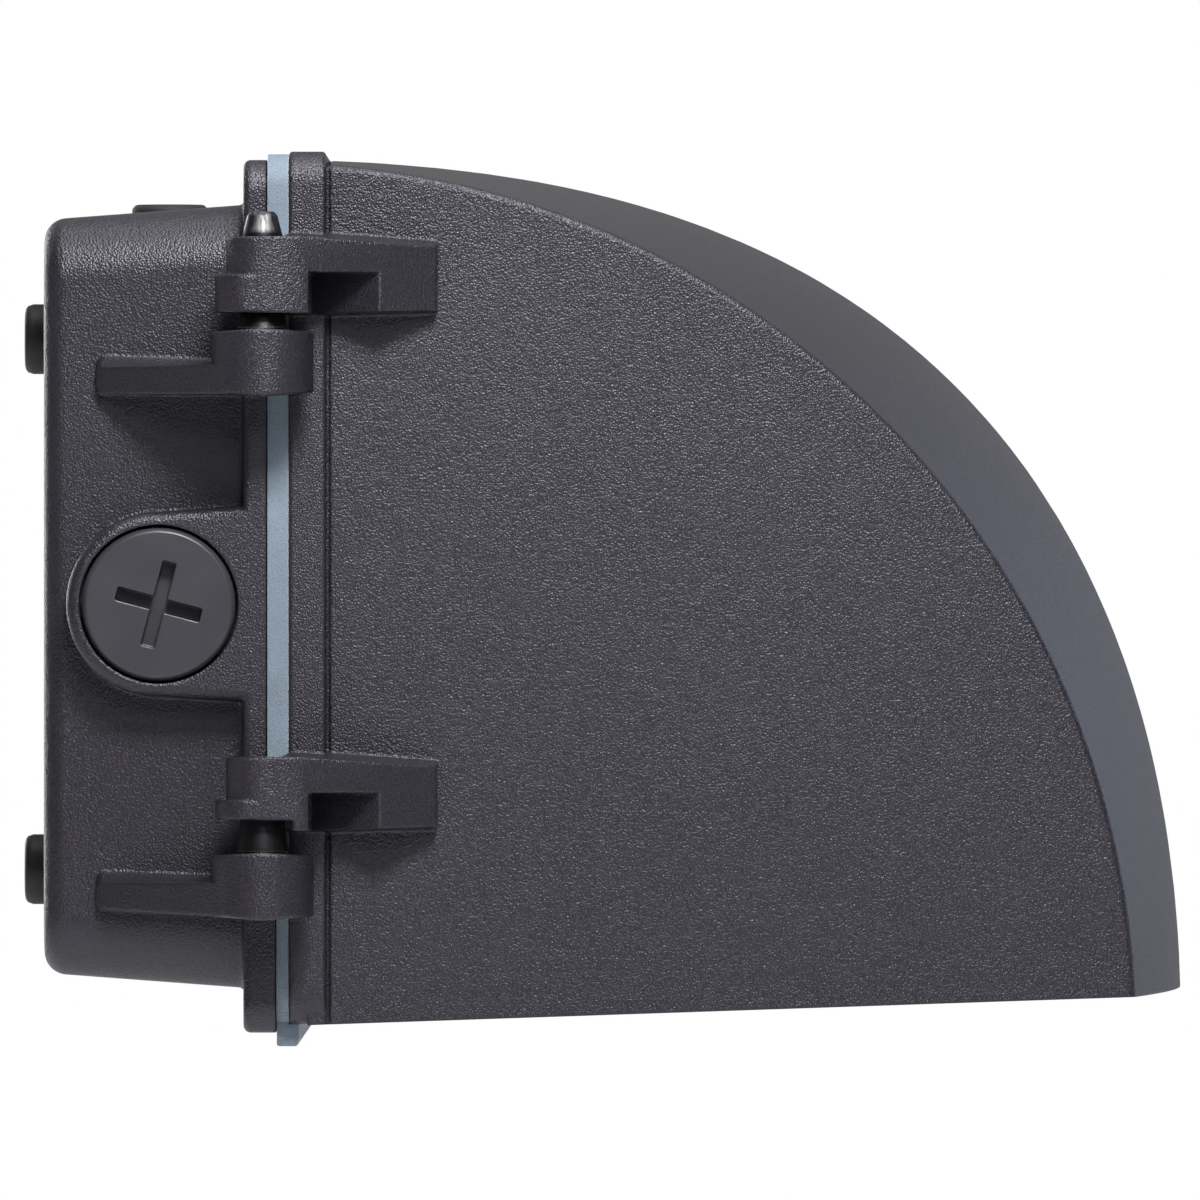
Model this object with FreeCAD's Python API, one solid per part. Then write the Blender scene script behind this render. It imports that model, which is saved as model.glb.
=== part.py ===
"""Full cut-off wall pack light: a die-cast wall box with a side-hinged quarter-round hood.

Millimetres. +X points away from the wall, +Z is up and the hinges are on the -Y side.
The origin is the middle of the four wall screws, on the plane of the wall.
"""

import FreeCAD
import Part
import math
import os

from FreeCAD import Vector

# ---- wall box -------------------------------------------------------------------------------
FOOT_PROUD = 4.2            # rubber grommets stand this far behind the box
BOX_DEPTH = 38.2            # back face to the rear of the flange
FLANGE_THICK = 4.4
RAIL_STEP = 1.7             # the flange's bottom rail stands this much further forward
RAIL_TOP_Z = -55.0
BOX_ROOT = 1.2              # concave rounding between the box and its flange
FLANGE_WIDTH = 266.0
FLANGE_HEIGHT = 166.0
FLANGE_CORNER = 6.0
FLANGE_EDGE = 1.4           # rounding of the flange's rear edge
FLANGE_RISE = 1.5           # middle of the flange above the middle of the wall screws
BOX_INSET = 8.3             # flange edge to box wall
BOX_CORNER = 12.0
BOX_BACK_EDGE = 4.4
DRAFT = 4.2                 # degrees, all castings
WALL = 3.0

# ---- wall screws and cable entries ----------------------------------------------------------
SCREW_SPACING_Y = 177.8
SCREW_SPACING_Z = 101.6
SCREW_HOLE_R = 2.75
GROMMET_R = 6.7
GROMMET_NECK_R = 4.6
GROMMET_LIP = 1.6
ENTRY_X = 26.3              # side cable entries, away from the wall
ENTRY_BOSS_R = 17.6
ENTRY_BOSS_FLARE = 1.2      # boss is this much taller on each side where it meets the flange
ENTRY_BOSS_EDGE = 2.2
ENTRY_BORE_R = 10.4
PLUG_R = 14.6
PLUG_GAP = 0.55
PLUG_HEAD = 3.4
PLUG_THREAD_R = 10.1
PLUG_THREAD = 12.7
PLUG_SLOT = 16.6
PLUG_SLOT_WIDTH = 2.6
PLUG_SLOT_DEPTH = 3.8
PLUG_SLOT_TURN = 15.0       # degrees
SEAL_SECTION = 1.2
BACK_ENTRY_R = 11.0
PHOTOCELL_R = 7.4
PHOTOCELL_TOP = 2.3         # height of the button over its seat
PHOTOCELL_NECK_R = 5.0
PHOTOCELL_NECK = 9.0
BARB_CLEAR = 0.35
BARB_WALL = 1.4
PHOTOCELL_SEAT = 0.6        # seat over the box roof
PHOTOCELL_RIM = 1.0         # seat outside the button

# ---- hinges ---------------------------------------------------------------------------------
HINGE_X = 46.2
HINGE_CLEAR = 0.3           # box knuckle to flange edge
EAR_R = 9.7
EAR_HEIGHT = 12.9
EAR_ARM_START_X = 14.3
EAR_ARM_MEET = 45.0         # degrees round the knuckle where the arm's outer face meets it
EAR_ARM_SINK = 0.3          # that face lies this far inside the knuckle's side
EAR_ARM_TAPER = 0.5         # its top drops by this much towards the free end
EAR_ARM_ROOT = 1.4          # its top widens towards the box from this far outside
EAR_ARM_ROOT_SLOPE = 35.0   # degrees
EAR_ARM_END = 1.9           # rounding of its free end
KNUCKLE_R = 6.9
HEEL_REACH = 2.1            # the knuckle's heel stands out this far on the free side
PIN_R = 3.9
PIN_CLEAR = 0.05
PIN_TIP_R = 2.9
PIN_TIP = 4.8
UPPER_EAR_TOP = 52.3
UPPER_ARM_TOP = 45.5
UPPER_ARM_RISE = 0.6
UPPER_KNUCKLE_BOTTOM = 55.2
UPPER_LUG_TOP = 69.7
UPPER_HEEL = 7.4
LOWER_EAR_TOP = -47.0
LOWER_ARM_TOP = -52.6
LOWER_ARM_RISE = 1.9
LOWER_KNUCKLE_BOTTOM = -40.9
LOWER_LUG_BOTTOM = -42.9
LOWER_LUG_TOP = -29.0
LOWER_HEEL = 3.9
LUG_FLAT_END_X = 53.8       # the lug's outer face turns inwards here
LUG_END_X = 79.2
LUG_END_PROUD = 3.2
LUG_POCKET_END_X = 68.4
LUG_POCKET_DROP = 6.7       # lug top to the top of its pocket
LUG_POCKET_PROUD = 2.2
LUG_ROOT = 3.0              # the lug widens towards the hood from this far outside the flange
LUG_DRAFT = 1.6             # rise of the lug's top over that root
CAST_EDGE = 0.8
PIN_SHOULDER_R = 5.0
PIN_SHOULDER_CLEAR = 0.1

# ---- door (hood) ----------------------------------------------------------------------------
GASKET_THICK = 4.2          # above the bottom rail
GASKET_WIDTH = 6.5
GASKET_EDGE_INSET = 0.5
GASKET_LIP_WIDTH = 4.4
GASKET_LIP_DROP = 4.2
GASKET_CLEAR = 0.2          # to the box's sealing face
DOOR_FLANGE = 7.1
DOOR_RISE = 1.6             # the door hangs this much higher than the box
HOOD_INSET = 1.3            # hood side behind the flange's edge
HOOD_WALL = 3.2
HOOD_GROOVE = 0.8           # width of the relief groove where the hood meets the flange
HOOD_GROOVE_DEPTH = 0.9
HOOD_R = 165.3              # arc of the hood's side
HOOD_CENTRE_X = 46.7
HOOD_CENTRE_DROP = 1.4      # arc centre below the door flange's bottom edge
RIM_SLOPE = 1.95            # degrees, the lower rim rises towards the front
CROWN_FRONT = 11.4          # bow of the hood at mid-width: front, shoulder and top
CROWN_SHOULDER = 9.2
CROWN_TOP = 2.2
HOOD_EDGE = 1.4             # rounding between the hood's side and its curved top
RIM_RECESS = 4.0
LEDGE_THICK = 3.0
LEDGE_WIDTH = 17.0
LENS_INSET = 8.0            # hood wall to lens edge

# ---- light engine ---------------------------------------------------------------------------
LENS_THICK = 4.0
LENS_SEAL = 1.0
LENS_FRAME = 1.5
LENS_SCREW_SHARE = 0.62     # outer screws of the lens frame, as a share of its half width
TRAY_RISE = 29.8            # tray underside above the rear end of the rim
TRAY_THICK = 2.5
TRAY_BACK_X = 70.0
TRAY_FRONT_X = 184.0
TRAY_LEDGE = 12.0
BOARD_X = 128.0
BOARD_LENGTH = 88.0
BOARD_WIDTH = 196.0
BOARD_THICK = 1.6
LED_ROWS = 3
LED_COLUMNS = 6
LED_PITCH_X = 26.0
LED_PITCH_Y = 31.0
LED_SIZE = 3.2
LED_THICK = 0.8
OPTIC_PLATE = 1.8
OPTIC_R = 6.5
OPTIC_DROP = 3.6
OPTIC_TIP_R = 3.9
OPTIC_SIDES = 12
OPTIC_CLEAR = 0.8            # round each emitter
REFLECTOR_SHEET = 0.8
REFLECTOR_LAP = 1.0         # its mouth stands this far over the lens frame
DRIVER_SETBACK = 9.0        # driver behind the middle of its tray
DRIVER_WIDTH = 58.0
DRIVER_LENGTH = 150.0
DRIVER_HEIGHT = 32.0
DRIVER_TAB = 14.0
DRIVER_TAB_THICK = 1.5
FIN_THICK = 2.0
FIN_PITCH = 6.5
FIN_HEIGHT = 20.0
FIN_CLEAR = 3.0             # to the driver's tabs and to the hood's wall, at least
PILLAR_R = 3.2
GROUND_BOSS = 5.0
RAIL_CLEAR = 1.0            # lens frame to the top of the flange's bottom rail
WINDOW_CORNER = 8.0
FRAME_GAP = 1.5             # lens frame to the hood's wall
REFLECTOR_TOP_GAP = 2.0     # board to reflector
HOOD_STEPS = 7              # spans of the hood's curve
HOOD_OVERRUN = 6.0          # degrees that the curve runs past its trimmed ends
LUG_POCKET_WEB = 1.2
RETAINER_R = 4.4
RETAINER_THICK = 1.0
TERMINAL_Y = 42.0
TERMINAL_Z = 30.0
TERMINAL_LENGTH = 34.0
TERMINAL_WIDTH = 20.0
TERMINAL_HEIGHT = 15.0
TERMINAL_POLES = 3

# ---- door screws ----------------------------------------------------------------------------
LATCH_OUT = 7.2             # screw axis outside the flange's edge
LATCH_R = 7.2
LATCH_SPACING = 104.0
LATCH_EAR_DEPTH = 14.0
LATCH_BOSS = 2.0
SCREW_R = 2.4
SCREW_CLEAR = 0.3           # in the door's ears
SCREW_SWING_CLEAR = 0.6     # in the box's ears, where the screws swing out with the door
SCREW_HEAD_R = 4.7
SCREW_HEAD = 3.0
SCREW_GRIP = 9.0            # length of thread in the box
WASHER_R = 5.8
WASHER_THICK = 1.2
SMALL_SCREW_R = 1.5
SMALL_HEAD_R = 3.0
SMALL_HEAD = 1.8

# ---- worked out from the sizes above --------------------------------------------------------
BACK_X = FOOT_PROUD
FLANGE_X = BACK_X + BOX_DEPTH
FACE_X = FLANGE_X + FLANGE_THICK
RAIL_X = FACE_X + RAIL_STEP
DOOR_X = FACE_X + GASKET_THICK
HOOD_X = DOOR_X + DOOR_FLANGE
HALF_W = FLANGE_WIDTH / 2
HALF_H = FLANGE_HEIGHT / 2
DOOR_MID_Z = FLANGE_RISE + DOOR_RISE
DOOR_BOTTOM_Z = DOOR_MID_Z - HALF_H
BOX_HALF_W = HALF_W - BOX_INSET
BOX_HALF_H = HALF_H - BOX_INSET
BOX_TAPER = BOX_DEPTH * math.tan(math.radians(DRAFT))
HINGE_Y = -(HALF_W + HINGE_CLEAR + EAR_R)
HOOD_HALF_W = HALF_W - HOOD_INSET
HOOD_CENTRE_Z = DOOR_BOTTOM_Z - HOOD_CENTRE_DROP
RIM_SEAT = RIM_RECESS + LEDGE_THICK
LENS_TOP = RIM_SEAT + LENS_SEAL + LENS_THICK
FRAME_TOP = LENS_TOP + LENS_FRAME
TRAY_Z = DOOR_BOTTOM_Z + TRAY_RISE
TRAY_HALF_W = HOOD_HALF_W - HOOD_WALL - HINGE_CLEAR
DRIVER_X = (TRAY_BACK_X + TRAY_FRONT_X) / 2 - DRIVER_SETBACK
FIN_START_Y = DRIVER_LENGTH / 2 + DRIVER_TAB + FIN_CLEAR
FIN_COUNT = int((TRAY_HALF_W - FIN_START_Y - FIN_THICK) / FIN_PITCH) + 1
LATCH_Y = HALF_W + LATCH_OUT
BIG = 400.0
THROUGH = 1.0               # extra length of a cut past the face that it goes through

TOUCHING = 1e-4


def box(x0, x1, y0, y1, z0, z1):
    """A box between two corners."""
    return Part.makeBox(x1 - x0, y1 - y0, z1 - z0, Vector(x0, y0, z0))


def rod(radius, start, direction, length):
    """A cylinder from a start point along a direction."""
    return Part.makeCylinder(radius, length, Vector(*start), Vector(*direction))


def rounded_rectangle(x, half_w, half_h, corner, mid_z):
    """A closed wire in the plane at x, with its straight sides joined by quarter arcs."""
    edges = []
    ends = []
    for quarter, (sy, sz) in enumerate([(1, 1), (-1, 1), (-1, -1), (1, -1)]):
        points = []
        for part_turn in (0, 0.5, 1):
            a = (quarter + part_turn) * math.pi / 2
            points.append(Vector(x, sy * (half_w - corner) + corner * math.cos(a),
                                 mid_z + sz * (half_h - corner) + corner * math.sin(a)))
        ends.append(points)
    for here, points in enumerate(ends):
        edges.append(Part.Arc(*points).toShape())
        following = ends[(here + 1) % len(ends)]
        edges.append(Part.LineSegment(points[2], following[0]).toShape())
    return Part.Wire(edges)


def slab(x0, x1, half_w, half_h, corner, mid_z):
    """A plate across X with a rounded-rectangle outline."""
    face = Part.Face(rounded_rectangle(x0, half_w, half_h, corner, mid_z))
    return face.extrude(Vector(x1 - x0, 0, 0))


def tapered(x0, x1, half_w, half_h, corner, mid_z, taper):
    """Like slab, but narrower by taper on every side at x0."""
    small = rounded_rectangle(x0, half_w - taper, half_h - taper, corner, mid_z)
    large = rounded_rectangle(x1, half_w, half_h, corner, mid_z)
    return Part.makeLoft([small, large], True, True)


def prism(points, z0, z1):
    """An upright prism over a polygon of (x, y) points."""
    corners = [Vector(x, y, z0) for x, y in points]
    return Part.Face(Part.makePolygon(corners + corners[:1])).extrude(Vector(0, 0, z1 - z0))


def side_prism(points, y0, y1):
    """A prism along Y over a polygon of (x, z) points."""
    corners = [Vector(x, y0, z) for x, z in points]
    return Part.Face(Part.makePolygon(corners + corners[:1])).extrude(Vector(0, y1 - y0, 0))


def round_ended(points, y, radius):
    """A closed wire at y through (x, z) points, with its first and last corner rounded."""
    corners = [Vector(x, y, z) for x, z in points]
    bends = []
    for before, corner, after in ((corners[-1], corners[0], corners[1]), (corners[-2], corners[-1], corners[0])):
        back = (before - corner).normalize()
        on = (after - corner).normalize()
        half_angle = back.getAngle(on) / 2
        middle = corner + (back + on).normalize() * (radius / math.sin(half_angle) - radius)
        run = radius / math.tan(half_angle)
        bends.append((corner + back * run, middle, corner + on * run))
    first, last = bends
    path = [first[2]] + corners[1:-1] + [last[0]]
    edges = [Part.Arc(*first).toShape()]
    edges += [Part.LineSegment(a, b).toShape() for a, b in zip(path, path[1:])]
    edges += [Part.Arc(*last).toShape(), Part.LineSegment(last[2], first[0]).toShape()]
    return Part.Wire(edges)


def revolved(profile, origin, axis):
    """A solid of revolution. The profile holds (radius, height) points about the axis."""
    corners = [Vector(r, 0, h) for r, h in profile]
    solid = Part.Face(Part.makePolygon(corners + corners[:1])).revolve(
        Vector(0, 0, 0), Vector(0, 0, 1), 360)
    solid.Placement = FreeCAD.Placement(
        Vector(*origin), FreeCAD.Rotation(Vector(0, 0, 1), Vector(*axis)))
    return solid


def rounded(shape, radius, chosen):
    """The shape with the edges that chosen(edge) picks rounded."""
    edges = [edge for edge in shape.Edges if chosen(edge)]
    return shape.makeFillet(radius, edges) if edges else shape


def bevelled(shape, size, chosen):
    """The shape with the edges that chosen(edge) picks cut at 45 degrees."""
    edges = [edge for edge in shape.Edges if chosen(edge)]
    return shape.makeChamfer(size, edges) if edges else shape


def joined(shapes):
    """One solid out of several that meet or overlap."""
    return shapes[0].multiFuse(shapes[1:]).removeSplitter()


def along_rim(shape):
    """Turns a shape made level at the rear end of the rim so that it lies along the rim."""
    turned = shape.copy()
    turned.rotate(Vector(HOOD_X, 0, DOOR_BOTTOM_Z), Vector(0, 1, 0), -RIM_SLOPE)
    return turned


def rim_slab(low, high):
    """Everything between two heights above the rim plane."""
    return along_rim(box(-BIG, BIG, -BIG, BIG, DOOR_BOTTOM_Z + low, DOOR_BOTTOM_Z + high))


# ---- wall box -------------------------------------------------------------------------------
def wall_screw_places():
    """The (y, z) of the four wall screws."""
    return [(sy * SCREW_SPACING_Y / 2, sz * SCREW_SPACING_Z / 2) for sy in (-1, 1) for sz in (-1, 1)]


def sealing_cut():
    """All that lies in front of the box's sealing face, which steps forward at the bottom rail."""
    return side_prism([(FACE_X, BIG), (BIG, BIG), (BIG, -BIG), (RAIL_X, -BIG),
                       (RAIL_X, RAIL_TOP_Z), (FACE_X, RAIL_TOP_Z)], -HALF_W - TOUCHING, BIG)


def hinge_ear(top, arm_top, arm_rise):
    """A knuckle of the box with the arm that carries it. Its ends fall away with the draft.

    The arm's underside runs from the knuckle's lower end up by arm_rise at its free end.
    """
    bottom = top - EAR_HEIGHT
    fall = EAR_R * math.tan(math.radians(DRAFT))
    knuckle = rod(EAR_R, (HINGE_X, HINGE_Y, bottom), (0, 0, 1), EAR_HEIGHT)
    ends = side_prism([(HINGE_X - EAR_R, bottom + fall), (HINGE_X, bottom), (HINGE_X + EAR_R, bottom + fall),
                       (HINGE_X + EAR_R, top - fall), (HINGE_X, top), (HINGE_X - EAR_R, top - fall)],
                      HINGE_Y - 2 * EAR_R, HINGE_Y + 2 * EAR_R)
    knuckle = bevelled(knuckle.common(ends), CAST_EDGE / 2, lambda e: e.BoundBox.XLength > EAR_R / 2)
    wall_y = -BOX_HALF_W
    meet_angle = math.radians(EAR_ARM_MEET)
    meet_r = EAR_R - EAR_ARM_SINK
    meet = (HINGE_X - meet_r * math.sin(meet_angle), HINGE_Y - meet_r * math.cos(meet_angle))
    end_x = FLANGE_X + FLANGE_THICK / 2
    plan = [(EAR_ARM_START_X, wall_y + 2 * WALL), (EAR_ARM_START_X, wall_y), meet,
            (end_x, HINGE_Y), (end_x, wall_y + 2 * WALL)]
    face = [(EAR_ARM_START_X, bottom + arm_rise), (HINGE_X, bottom + fall / 2),
            (HINGE_X, arm_top), (EAR_ARM_START_X, arm_top - EAR_ARM_TAPER)]
    root_rise = (EAR_ARM_ROOT + 2 * WALL) * math.tan(math.radians(EAR_ARM_ROOT_SLOPE))
    root = face[:2] + [(x, z + root_rise) for x, z in face[2:]]
    outlines = [round_ended(points, y, EAR_ARM_END) for points, y in
                ((face, -BIG), (face, wall_y - EAR_ARM_ROOT), (root, wall_y + 2 * WALL))]
    arm = prism(plan, bottom, top).common(Part.makeLoft(outlines, True, True))
    web_x = HINGE_X - meet_r
    web = [(end_x, wall_y + WALL), (web_x, wall_y + WALL), (web_x, wall_y),
           (HINGE_X - EAR_R / 2, HINGE_Y), (end_x, HINGE_Y)]
    return joined([knuckle, arm, prism(web, bottom + 2 * fall, top - 2 * fall)])


def entry_boss(side):
    """The raised pad of a side cable entry, flush with the flange's edge."""
    inner = BOX_HALF_W - BOX_TAPER - WALL
    depth = HALF_W - inner
    round_end = rod(ENTRY_BOSS_R, (ENTRY_X, side * inner, 0), (0, side, 0), depth)
    tall = ENTRY_BOSS_R + ENTRY_BOSS_FLARE
    reach = FLANGE_X + FLANGE_THICK / 2
    pad = side_prism([(ENTRY_X, -ENTRY_BOSS_R), (reach, -tall), (reach, tall), (ENTRY_X, ENTRY_BOSS_R)],
                     min(side * inner, side * HALF_W), max(side * inner, side * HALF_W))
    boss = joined([round_end, pad])
    outer_y = side * HALF_W
    return rounded(boss, ENTRY_BOSS_EDGE, lambda e: abs(e.BoundBox.YMin - outer_y) < TOUCHING
                   and abs(e.BoundBox.YMax - outer_y) < TOUCHING and e.BoundBox.XMin < reach - TOUCHING)


def photocell_seat_z():
    """Height of the flat seat of the photocell on the box's roof."""
    roof = FLANGE_RISE + BOX_HALF_H - (FLANGE_X - ENTRY_X) * math.tan(math.radians(DRAFT))
    return roof + PHOTOCELL_SEAT


def latch_places():
    """Heights of the two door screws."""
    return [DOOR_MID_Z + LATCH_SPACING / 2, DOOR_MID_Z - LATCH_SPACING / 2]


def latch_ear(x0, x1, z, radius):
    """A half-round ear outside the flange's free edge."""
    inner = HALF_W - FLANGE_CORNER
    block = box(x0, x1, inner, LATCH_Y, z - radius, z + radius)
    return joined([rod(radius, (x0, LATCH_Y, z), (1, 0, 0), x1 - x0), block])


def rear_housing():
    """The cast wall box with its flange, hinge ears, cable entries and screw ears."""
    body = tapered(BACK_X, FLANGE_X, BOX_HALF_W, BOX_HALF_H, BOX_CORNER, FLANGE_RISE, BOX_TAPER)
    body = rounded(body, BOX_BACK_EDGE, lambda e: e.BoundBox.XMax < BACK_X + TOUCHING)
    flange = slab(FLANGE_X, RAIL_X, HALF_W, HALF_H, FLANGE_CORNER, FLANGE_RISE)
    flange = rounded(flange, FLANGE_EDGE, lambda e: e.BoundBox.XMax < FLANGE_X + TOUCHING)
    body = rounded(joined([body, flange]), BOX_ROOT, lambda e: abs(e.BoundBox.XMin - FLANGE_X) < TOUCHING
                   and e.BoundBox.XLength < TOUCHING and abs(e.CenterOfMass.y) < BOX_HALF_W + TOUCHING
                   and abs(e.CenterOfMass.z - FLANGE_RISE) < BOX_HALF_H + TOUCHING)
    seat = photocell_seat_z()
    pieces = [body, entry_boss(-1), entry_boss(1),
              rod(PHOTOCELL_R + PHOTOCELL_RIM, (ENTRY_X, 0, seat - 2 * WALL), (0, 0, 1), 2 * WALL)]
    ears = [hinge_ear(UPPER_EAR_TOP, UPPER_ARM_TOP, UPPER_ARM_RISE),
            hinge_ear(LOWER_EAR_TOP, LOWER_ARM_TOP, LOWER_ARM_RISE)]
    ears += [latch_ear(RAIL_X - LATCH_EAR_DEPTH, RAIL_X, z, LATCH_R) for z in latch_places()]
    casting = joined(pieces + ears)
    cavity = tapered(BACK_X + WALL, FLANGE_X + THROUGH, BOX_HALF_W - WALL, BOX_HALF_H - WALL,
                     BOX_CORNER - WALL, FLANGE_RISE, BOX_TAPER)
    mouth = slab(FLANGE_X, BIG, BOX_HALF_W - WALL, BOX_HALF_H - WALL, BOX_CORNER - WALL, FLANGE_RISE)
    keep = [rod(SMALL_HEAD_R + CAST_EDGE, (BACK_X, *ground_place()), (1, 0, 0), WALL + GROUND_BOSS)]
    keep += [entry_boss(-1).common(box(-BIG, BIG, -HALF_W, -HALF_W + BOX_INSET + 2 * WALL, -BIG, BIG)),
             entry_boss(1).common(box(-BIG, BIG, HALF_W - BOX_INSET - 2 * WALL, HALF_W, -BIG, BIG))]
    casting = joined([casting.cut(joined([cavity, mouth]))] + keep).cut(sealing_cut())
    holes = []
    for side in (-1, 1):
        holes.append(rod(PLUG_R + PLUG_GAP, (ENTRY_X, side * HALF_W, 0), (0, -side, 0),
                         PLUG_HEAD + SEAL_SECTION))
        holes.append(rod(ENTRY_BORE_R, (ENTRY_X, side * HALF_W, 0), (0, -side, 0), 2 * BOX_INSET + WALL))
    holes += [rod(GROMMET_NECK_R, (BACK_X - THROUGH, y, z), (1, 0, 0), 2 * WALL)
              for y, z in wall_screw_places()]
    holes.append(rod(BACK_ENTRY_R, (BACK_X - THROUGH, 0, 0), (1, 0, 0), 2 * WALL))
    holes.append(rod(PHOTOCELL_NECK_R, (ENTRY_X, 0, seat - 4 * WALL), (0, 0, 1), 5 * WALL))
    for top in (UPPER_EAR_TOP, LOWER_EAR_TOP):
        holes.append(rod(PIN_R, (HINGE_X, HINGE_Y, top - 2 * EAR_HEIGHT), (0, 0, 1), 3 * EAR_HEIGHT))
    for z in latch_places():
        holes.append(rod(SCREW_R + SCREW_SWING_CLEAR, (BIG, LATCH_Y, z), (-1, 0, 0), BIG))
    holes += [rod(SMALL_SCREW_R, (BACK_X + WALL / 2, y, z), (1, 0, 0), BIG) for y, z in terminal_places()]
    holes.append(rod(SMALL_SCREW_R, (BACK_X + WALL, *ground_place()), (1, 0, 0), BIG))
    return casting.cut(joined(holes))


def ground_place():
    """(y, z) of the earthing screw's boss inside the box."""
    return (-SCREW_SPACING_Y / 4, -SCREW_SPACING_Z / 4)


def mounting_grommets():
    """Four rubber grommets in the box's back, bored for the wall screws."""
    grommets = []
    for y, z in wall_screw_places():
        flange = rod(GROMMET_R, (0, y, z), (1, 0, 0), FOOT_PROUD)
        flange = bevelled(flange, GROMMET_LIP, lambda e: e.BoundBox.XMax < TOUCHING)
        neck = rod(GROMMET_NECK_R, (0, y, z), (1, 0, 0), BACK_X + WALL)
        lip = rod(GROMMET_NECK_R + GROMMET_LIP, (BACK_X + WALL, y, z), (1, 0, 0), GROMMET_LIP)
        bore = rod(SCREW_HOLE_R, (-THROUGH, y, z), (1, 0, 0), BIG)
        grommets.append(joined([flange, neck, lip]).cut(bore))
    return Part.makeCompound(grommets)


def conduit_plug(side):
    """A threaded plug with a cross slot that closes a side cable entry."""
    seat_y = side * (HALF_W - PLUG_HEAD)
    head = rod(PLUG_R, (ENTRY_X, seat_y, 0), (0, side, 0), PLUG_HEAD)
    head = bevelled(head, CAST_EDGE, lambda e: abs(e.BoundBox.YMin - side * HALF_W) < TOUCHING
                    and abs(e.BoundBox.YMax - side * HALF_W) < TOUCHING)
    stem = rod(PLUG_THREAD_R, (ENTRY_X, seat_y, 0), (0, -side, 0), PLUG_THREAD)
    hollow = rod(PLUG_THREAD_R - WALL, (ENTRY_X, seat_y - side * PLUG_THREAD, 0), (0, side, 0),
                 PLUG_THREAD - WALL)
    plug = joined([head, stem]).cut(hollow)
    bottom = HALF_W - PLUG_SLOT_DEPTH
    low, high = sorted((side * bottom, side * (HALF_W + THROUGH)))
    half_l = PLUG_SLOT / 2
    half_w = PLUG_SLOT_WIDTH / 2
    cross = joined([box(-half_l, half_l, low, high, -half_w, half_w),
                    box(-half_w, half_w, low, high, -half_l, half_l)])
    cross.rotate(Vector(0, 0, 0), Vector(0, 1, 0), PLUG_SLOT_TURN)
    cross.translate(Vector(ENTRY_X, 0, 0))
    return plug.cut(cross)


def plug_seal(side):
    """The flat ring under a conduit plug's head."""
    inner_y = side * (HALF_W - PLUG_HEAD - SEAL_SECTION)
    ring = rod(PLUG_R, (ENTRY_X, inner_y, 0), (0, side, 0), SEAL_SECTION)
    return ring.cut(rod(ENTRY_BORE_R, (ENTRY_X, inner_y - side * THROUGH, 0), (0, side, 0), BIG))


def photocell_button():
    """The push-in cap of the photocell hole in the box's roof, with a barbed neck."""
    seat = photocell_seat_z()
    head = rod(PHOTOCELL_R, (ENTRY_X, 0, seat), (0, 0, 1), PHOTOCELL_TOP)
    head = bevelled(head, CAST_EDGE, lambda e: e.BoundBox.ZMin > seat + TOUCHING)
    neck_r = PHOTOCELL_NECK_R - BARB_CLEAR
    neck = rod(neck_r, (ENTRY_X, 0, seat - PHOTOCELL_NECK), (0, 0, 1), PHOTOCELL_NECK)
    hollow = rod(neck_r - BARB_WALL, (ENTRY_X, 0, seat - PHOTOCELL_NECK), (0, 0, 1), PHOTOCELL_NECK)
    return joined([head, neck]).cut(hollow)


def hinge_pin(ear_top, knuckle_bottom, tip_z):
    """A steel pin pressed into a box knuckle. Its shoulder carries the door, and its tip is tapered."""
    root = ear_top - EAR_HEIGHT + CAST_EDGE
    shoulder = knuckle_bottom - PIN_SHOULDER_CLEAR
    neck_r = PIN_R - PIN_CLEAR
    profile = [(0, root), (PIN_R, root), (PIN_R, ear_top), (PIN_SHOULDER_R, ear_top),
               (PIN_SHOULDER_R - CAST_EDGE, shoulder), (neck_r, shoulder),
               (neck_r, tip_z - PIN_TIP), (PIN_TIP_R, tip_z - CAST_EDGE),
               (PIN_TIP_R - CAST_EDGE, tip_z), (0, tip_z)]
    return revolved(profile, (HINGE_X, HINGE_Y, 0), (0, 0, 1))


def small_screw(point, direction, length):
    """A pan-head screw: its head stands on the point, its shank runs along the direction."""
    head = rod(SMALL_HEAD_R, point, tuple(Vector(*direction) * -1), SMALL_HEAD)
    return joined([head, rod(SMALL_SCREW_R, point, direction, length)])


def ground_screw():
    """The earthing screw in its boss inside the box."""
    y, z = ground_place()
    return small_screw((BACK_X + WALL + GROUND_BOSS, y, z), (-1, 0, 0), GROUND_BOSS)


def terminal_places():
    """(y, z) of the two screws that hold the terminal block."""
    reach = TERMINAL_LENGTH / 2 - SMALL_HEAD_R - CAST_EDGE
    return [(TERMINAL_Y - reach, TERMINAL_Z), (TERMINAL_Y + reach, TERMINAL_Z)]


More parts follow.
